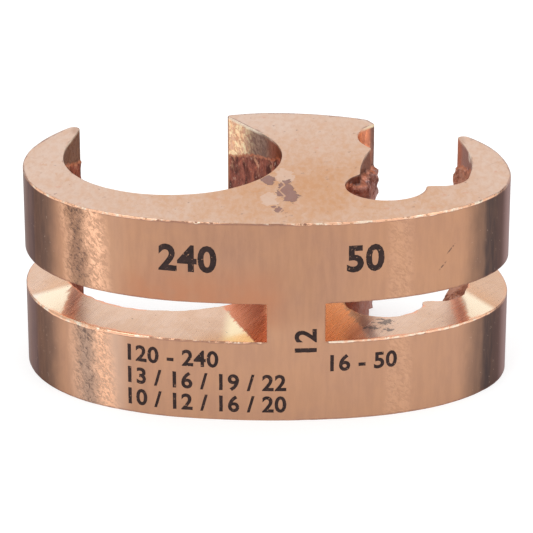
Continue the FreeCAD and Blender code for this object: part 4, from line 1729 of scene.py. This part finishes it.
# Printed numbers: name, text, left end and middle height on the wall and height of a figure in
# millimetres, turn in degrees, and weight of the strokes.
PRINT_ROWS = (
    ("large_number", "240", -11.6, 18.9, 2.9, 0.0, 1.25),
    ("small_number", "50", 8.8, 18.9, 2.9, 0.0, 1.25),
    ("large_range", "120 - 240", -15.6, 7.15, 1.85, 0.0, 1.0),
    ("rod_sizes", "13 / 16 / 19 / 22", -15.6, 4.45, 1.85, 0.0, 1.0),
    ("bar_sizes", "10 / 12 / 16 / 20", -15.6, 1.85, 1.85, 0.0, 1.0),
    ("small_range", "16 - 50", 6.7, 6.7, 1.85, 0.0, 1.0),
    ("web_number", "12", 4.6, 9.6, 2.3, 90.0, 1.0),
)
FIGURE_SHARE = 0.7
FIGURE_SPACING = 1.05
STROKE_GROWTH = 0.036
INK_LIFT = 0.012 * MM
INK_WELD = 1e-6
INK_DETAIL = 0.4 * MM
INK_CURVE_STEPS = 4
INK_LEAST_EDGE = 0.002 * MM
INK_RAGGED = 0.05 * MM
INK_RAGGED_CELL = 0.35 * MM
INK_NOISE_SHIFT = 0.013


def cut_in_steps(work, axis, step):
    """Cut a mesh by even planes across one axis, so that it can be bent."""
    places = [vert.co[axis] for vert in work.verts]
    normal = Vector((0.0, 0.0, 0.0))
    normal[axis] = 1.0
    for place in np.arange(min(places) + 0.5 * step, max(places), step):
        whole = work.verts[:] + work.edges[:] + work.faces[:]
        point = place * normal
        bmesh.ops.bisect_plane(work, geom=whole, dist=WELD, plane_co=point, plane_no=normal)


def flat_text(text, figure_height, weight):
    """Return a thin closed mesh of a row of figures, with its left end at the origin.

    It is cut into short pieces so that it can be bent, and edges too short to matter are joined.
    """
    curve = bpy.data.curves.new("row", "FONT")
    curve.body = text
    curve.align_x = "LEFT"
    curve.align_y = "CENTER"
    curve.size = figure_height / FIGURE_SHARE
    curve.space_character = FIGURE_SPACING
    curve.offset = STROKE_GROWTH * figure_height * weight
    curve.extrude = INK_LIFT
    curve.resolution_u = INK_CURVE_STEPS
    carrier = add_object("row", curve)
    bpy.context.view_layer.update()
    evaluated = carrier.evaluated_get(bpy.context.evaluated_depsgraph_get())
    mesh = bpy.data.meshes.new_from_object(evaluated)
    bpy.data.objects.remove(carrier)
    bpy.data.curves.remove(curve)
    work = bmesh.new()
    work.from_mesh(mesh)
    bmesh.ops.remove_doubles(work, verts=work.verts, dist=INK_WELD)
    for axis in (0, 1):
        cut_in_steps(work, axis, INK_DETAIL)
    bmesh.ops.dissolve_degenerate(work, edges=work.edges, dist=INK_LEAST_EDGE)
    bmesh.ops.triangulate(work, faces=work.faces)
    bmesh.ops.recalc_face_normals(work, faces=work.faces)
    work.to_mesh(mesh)
    work.free()
    return mesh


def lay_on_wall(mesh, wall, x, z, turn):
    """Bend a flat mesh onto the back wall: its plane becomes distance along the wall and height.

    A row that is turned is turned about its middle. Noise makes the edges of the ink uneven.
    """
    points = np.empty(3 * len(mesh.vertices), np.float32)
    mesh.vertices.foreach_get("co", points)
    points = points.reshape(-1, 3).astype(float)
    if turn:
        points[:, 0] -= (points[:, 0].min() + points[:, 0].max()) / 2.0
    flat = (points[:, 0] + 1j * points[:, 1]) * ray(turn)
    across = rough_cloud(points + INK_NOISE_SHIFT, INK_RAGGED_CELL) - 0.5
    upwards = rough_cloud(points, INK_RAGGED_CELL, 9.0) - 0.5
    along = wall.outline.place_on_back(x) + flat.real + INK_RAGGED * across
    height = z + flat.imag + INK_RAGGED * upwards
    on_wall = wall.points(along, height)
    _, normal = wall.base(along, height)
    laid = on_wall + normal * (points[:, 2] + INK_LIFT)[:, None]
    mesh.vertices.foreach_set("co", laid.astype(np.float32).ravel())
    mesh.update()


class CONNECTOR_OT_body(bpy.types.Operator):
    """Build the copper body with its worn edges, torn grooves and sawn faces"""

    bl_idname = "connector.body"
    bl_label = "Copper body"

    def execute(self, context):
        size = sizes()
        make_groups()
        body = build_body(size)
        tints = size["tints"]
        for material in (
            outer_wall_material(tints),
            groove_wall_material(tints),
            sawn_end_material(tints),
            saw_slot_material(tints),
        ):
            body.data.materials.append(material)
        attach(body, BODY_RIDES_ON)
        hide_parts(NODE)
        return {"FINISHED"}


class CONNECTOR_OT_print(bpy.types.Operator):
    """Print the plain numbers on the back wall"""

    bl_idname = "connector.print"
    bl_label = "Printed numbers"

    def execute(self, context):
        size = sizes()
        wall = Wall(Outline(size), size["wear"])
        ink = ink_material(size["tints"])
        for name, text, x, z, figure_height, turn, weight in PRINT_ROWS:
            mesh = flat_text(text, figure_height * MM, weight)
            mesh.name = name
            lay_on_wall(mesh, wall, x * MM, z * MM, math.radians(turn))
            mesh.materials.clear()
            mesh.materials.append(ink)
            row = add_object(name, mesh)
            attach(row, BODY_RIDES_ON)
        return {"FINISHED"}


WHITE = (1.0, 1.0, 1.0, 1.0)
ROOM_SIDE_LEVEL = 0.55
ROOM_BEHIND_Y = (0.1, 0.7)
ROOM_OVERHEAD_Z = (0.45, 0.9)
FLOOR_CORNERS = 96
FLOOR_LIT = (0.82, 0.82, 0.82)
FLOOR_SEEN = (0.45, 0.45, 0.45)
FLOOR_GLOW = 0.60
SENSOR_WIDTH = 36.0
CAMERA_RANGE = (0.01, 20.0)

# Softboxes: name, place and size in metres, power in watts.
SOFTBOXES = (
    ("key_softbox", (-0.55, -0.75, 0.85), (0.60, 0.60), 4.0),
    ("fill_softbox", (0.75, -0.60, 0.55), (0.50, 0.70), 1.8),
    ("top_softbox", (0.05, 0.35, 0.95), (0.90, 0.50), 1.9),
)


def make_softbox(name, place, size, power, aim):
    """Hang one soft lamp that looks at the object."""
    light = bpy.data.lights.new(name, "AREA")
    light.shape = "RECTANGLE"
    light.size, light.size_y = size
    light.energy = power
    lamp = add_object(name, light)
    lamp.location = place
    lamp.rotation_euler = (aim - Vector(place)).to_track_quat("-Z", "Y").to_euler()


def make_floor(radius):
    """Lay a pale round floor that keeps the object's shadow."""
    mesh = bpy.data.meshes.new("floor")
    turns = np.linspace(0.0, 2.0 * math.pi, FLOOR_CORNERS + 1)[:-1]
    ring = np.column_stack([np.cos(turns) * radius, np.sin(turns) * radius, np.zeros(len(turns))])
    mesh.from_pydata(ring.tolist(), [], [list(range(len(ring)))])
    floor = add_object("floor", mesh)
    material, tree, shader, _ = start_material("pale_floor", metallic=0.0)
    shader["Roughness"].default_value = 1.0
    shader["Specular IOR Level"].default_value = 0.0
    path = tree.add("ShaderNodeLightPath").outputs
    seen = tree.most(path["Is Camera Ray"], path["Is Transmission Ray"])
    seen = tree.most(seen, path["Is Glossy Ray"])
    tree.link(tree.mix(seen, FLOOR_LIT, FLOOR_SEEN), shader["Base Color"])
    shader["Emission Color"].default_value = WHITE
    tree.link(tree.times(seen, FLOOR_GLOW), shader["Emission Strength"])
    mesh.materials.append(material)


def make_room(level):
    """Fill the room with soft light, whitest behind and overhead and quieter at the sides.

    The camera sees plain white. The metal sees white behind, and a greyer room at the sides.
    """
    world = bpy.data.worlds.new("room")
    bpy.context.scene.world = world
    world.use_nodes = True
    tree = Tree(world.node_tree)
    background = world.node_tree.nodes["Background"].inputs
    background["Color"].default_value = WHITE
    path = tree.add("ShaderNodeLightPath").outputs
    towards = tree.add("ShaderNodeTexCoord").outputs["Generated"]
    axes = tree.axes(towards)
    behind = tree.ramp(axes["Y"], *ROOM_BEHIND_Y, ROOM_SIDE_LEVEL, 1.0)
    mirrored = tree.most(behind, tree.ramp(axes["Z"], *ROOM_OVERHEAD_Z))
    seen = tree.most(path["Is Camera Ray"], path["Is Transmission Ray"])
    glossy = path["Is Glossy Ray"]
    plain = tree.most(seen, tree.ramp(seen, 0.0, 1.0, level, 1.0))
    rest = tree.times(tree.minus(1.0, glossy), plain)
    tree.link(tree.plus(tree.times(glossy, mirrored), rest), background["Strength"])


def make_camera(stage):
    """Place the camera where the photograph was taken from."""
    data = bpy.data.cameras.new("camera")
    data.lens = stage.focal_length
    data.sensor_width = SENSOR_WIDTH
    data.clip_start, data.clip_end = CAMERA_RANGE
    camera = add_object("camera", data)
    flat = math.cos(stage.elevation)
    back = Vector((
        math.sin(stage.azimuth) * flat, -math.cos(stage.azimuth) * flat, math.sin(stage.elevation)
    ))
    camera.location = Vector((stage.target_x, 0.0, stage.target_z)) + back * stage.distance
    camera.rotation_euler = (-back).to_track_quat("-Z", "Y").to_euler()
    bpy.context.scene.camera = camera


class CONNECTOR_OT_stage(bpy.types.Operator):
    """Set up the floor, the lamps, the room and the camera"""

    bl_idname = "connector.stage"
    bl_label = "Stage"

    def execute(self, context):
        stage = sizes()["stage"]
        aim = Vector((0.0, 0.0, HEIGHT / 2.0))
        for name, place, size, power in SOFTBOXES:
            make_softbox(name, place, size, power, aim)
        make_floor(stage.floor_radius)
        make_room(stage.light_level)
        make_camera(stage)
        context.scene.view_settings.view_transform = "Standard"
        return {"FINISHED"}


class CONNECTOR_PT_panel(bpy.types.Panel):
    """Sizes and steps of the connector"""

    bl_idname = "CONNECTOR_PT_panel"
    bl_label = "Grounding connector"
    bl_space_type = "VIEW_3D"
    bl_region_type = "UI"
    bl_category = "Connector"

    def draw(self, context):
        for operator in OPERATORS:
            self.layout.operator(operator.bl_idname)
        for name, group in GROUPS.items():
            box = self.layout.box()
            box.label(text=group.__doc__.split(",")[0].rstrip("."))
            for prop in group.__annotations__:
                box.prop(getattr(context.scene, SCENE_PREFIX + name), prop)


OPERATORS = (CONNECTOR_OT_body, CONNECTOR_OT_print, CONNECTOR_OT_stage)
CLASSES = (*GROUPS.values(), *OPERATORS, CONNECTOR_PT_panel)


def register():
    """Register the classes, and put the property groups on the scene."""
    for cls in CLASSES:
        bpy.utils.register_class(cls)
    for name, group in GROUPS.items():
        setattr(bpy.types.Scene, SCENE_PREFIX + name, PointerProperty(type=group))


def unregister():
    """Take the property groups off the scene, and unregister the classes."""
    for name in GROUPS:
        delattr(bpy.types.Scene, SCENE_PREFIX + name)
    for cls in reversed(CLASSES):
        bpy.utils.unregister_class(cls)


def main():
    """Build everything in order."""
    register()
    bpy.ops.connector.body()
    bpy.ops.connector.print()
    bpy.ops.connector.stage()


if __name__ == "__main__":
    main()
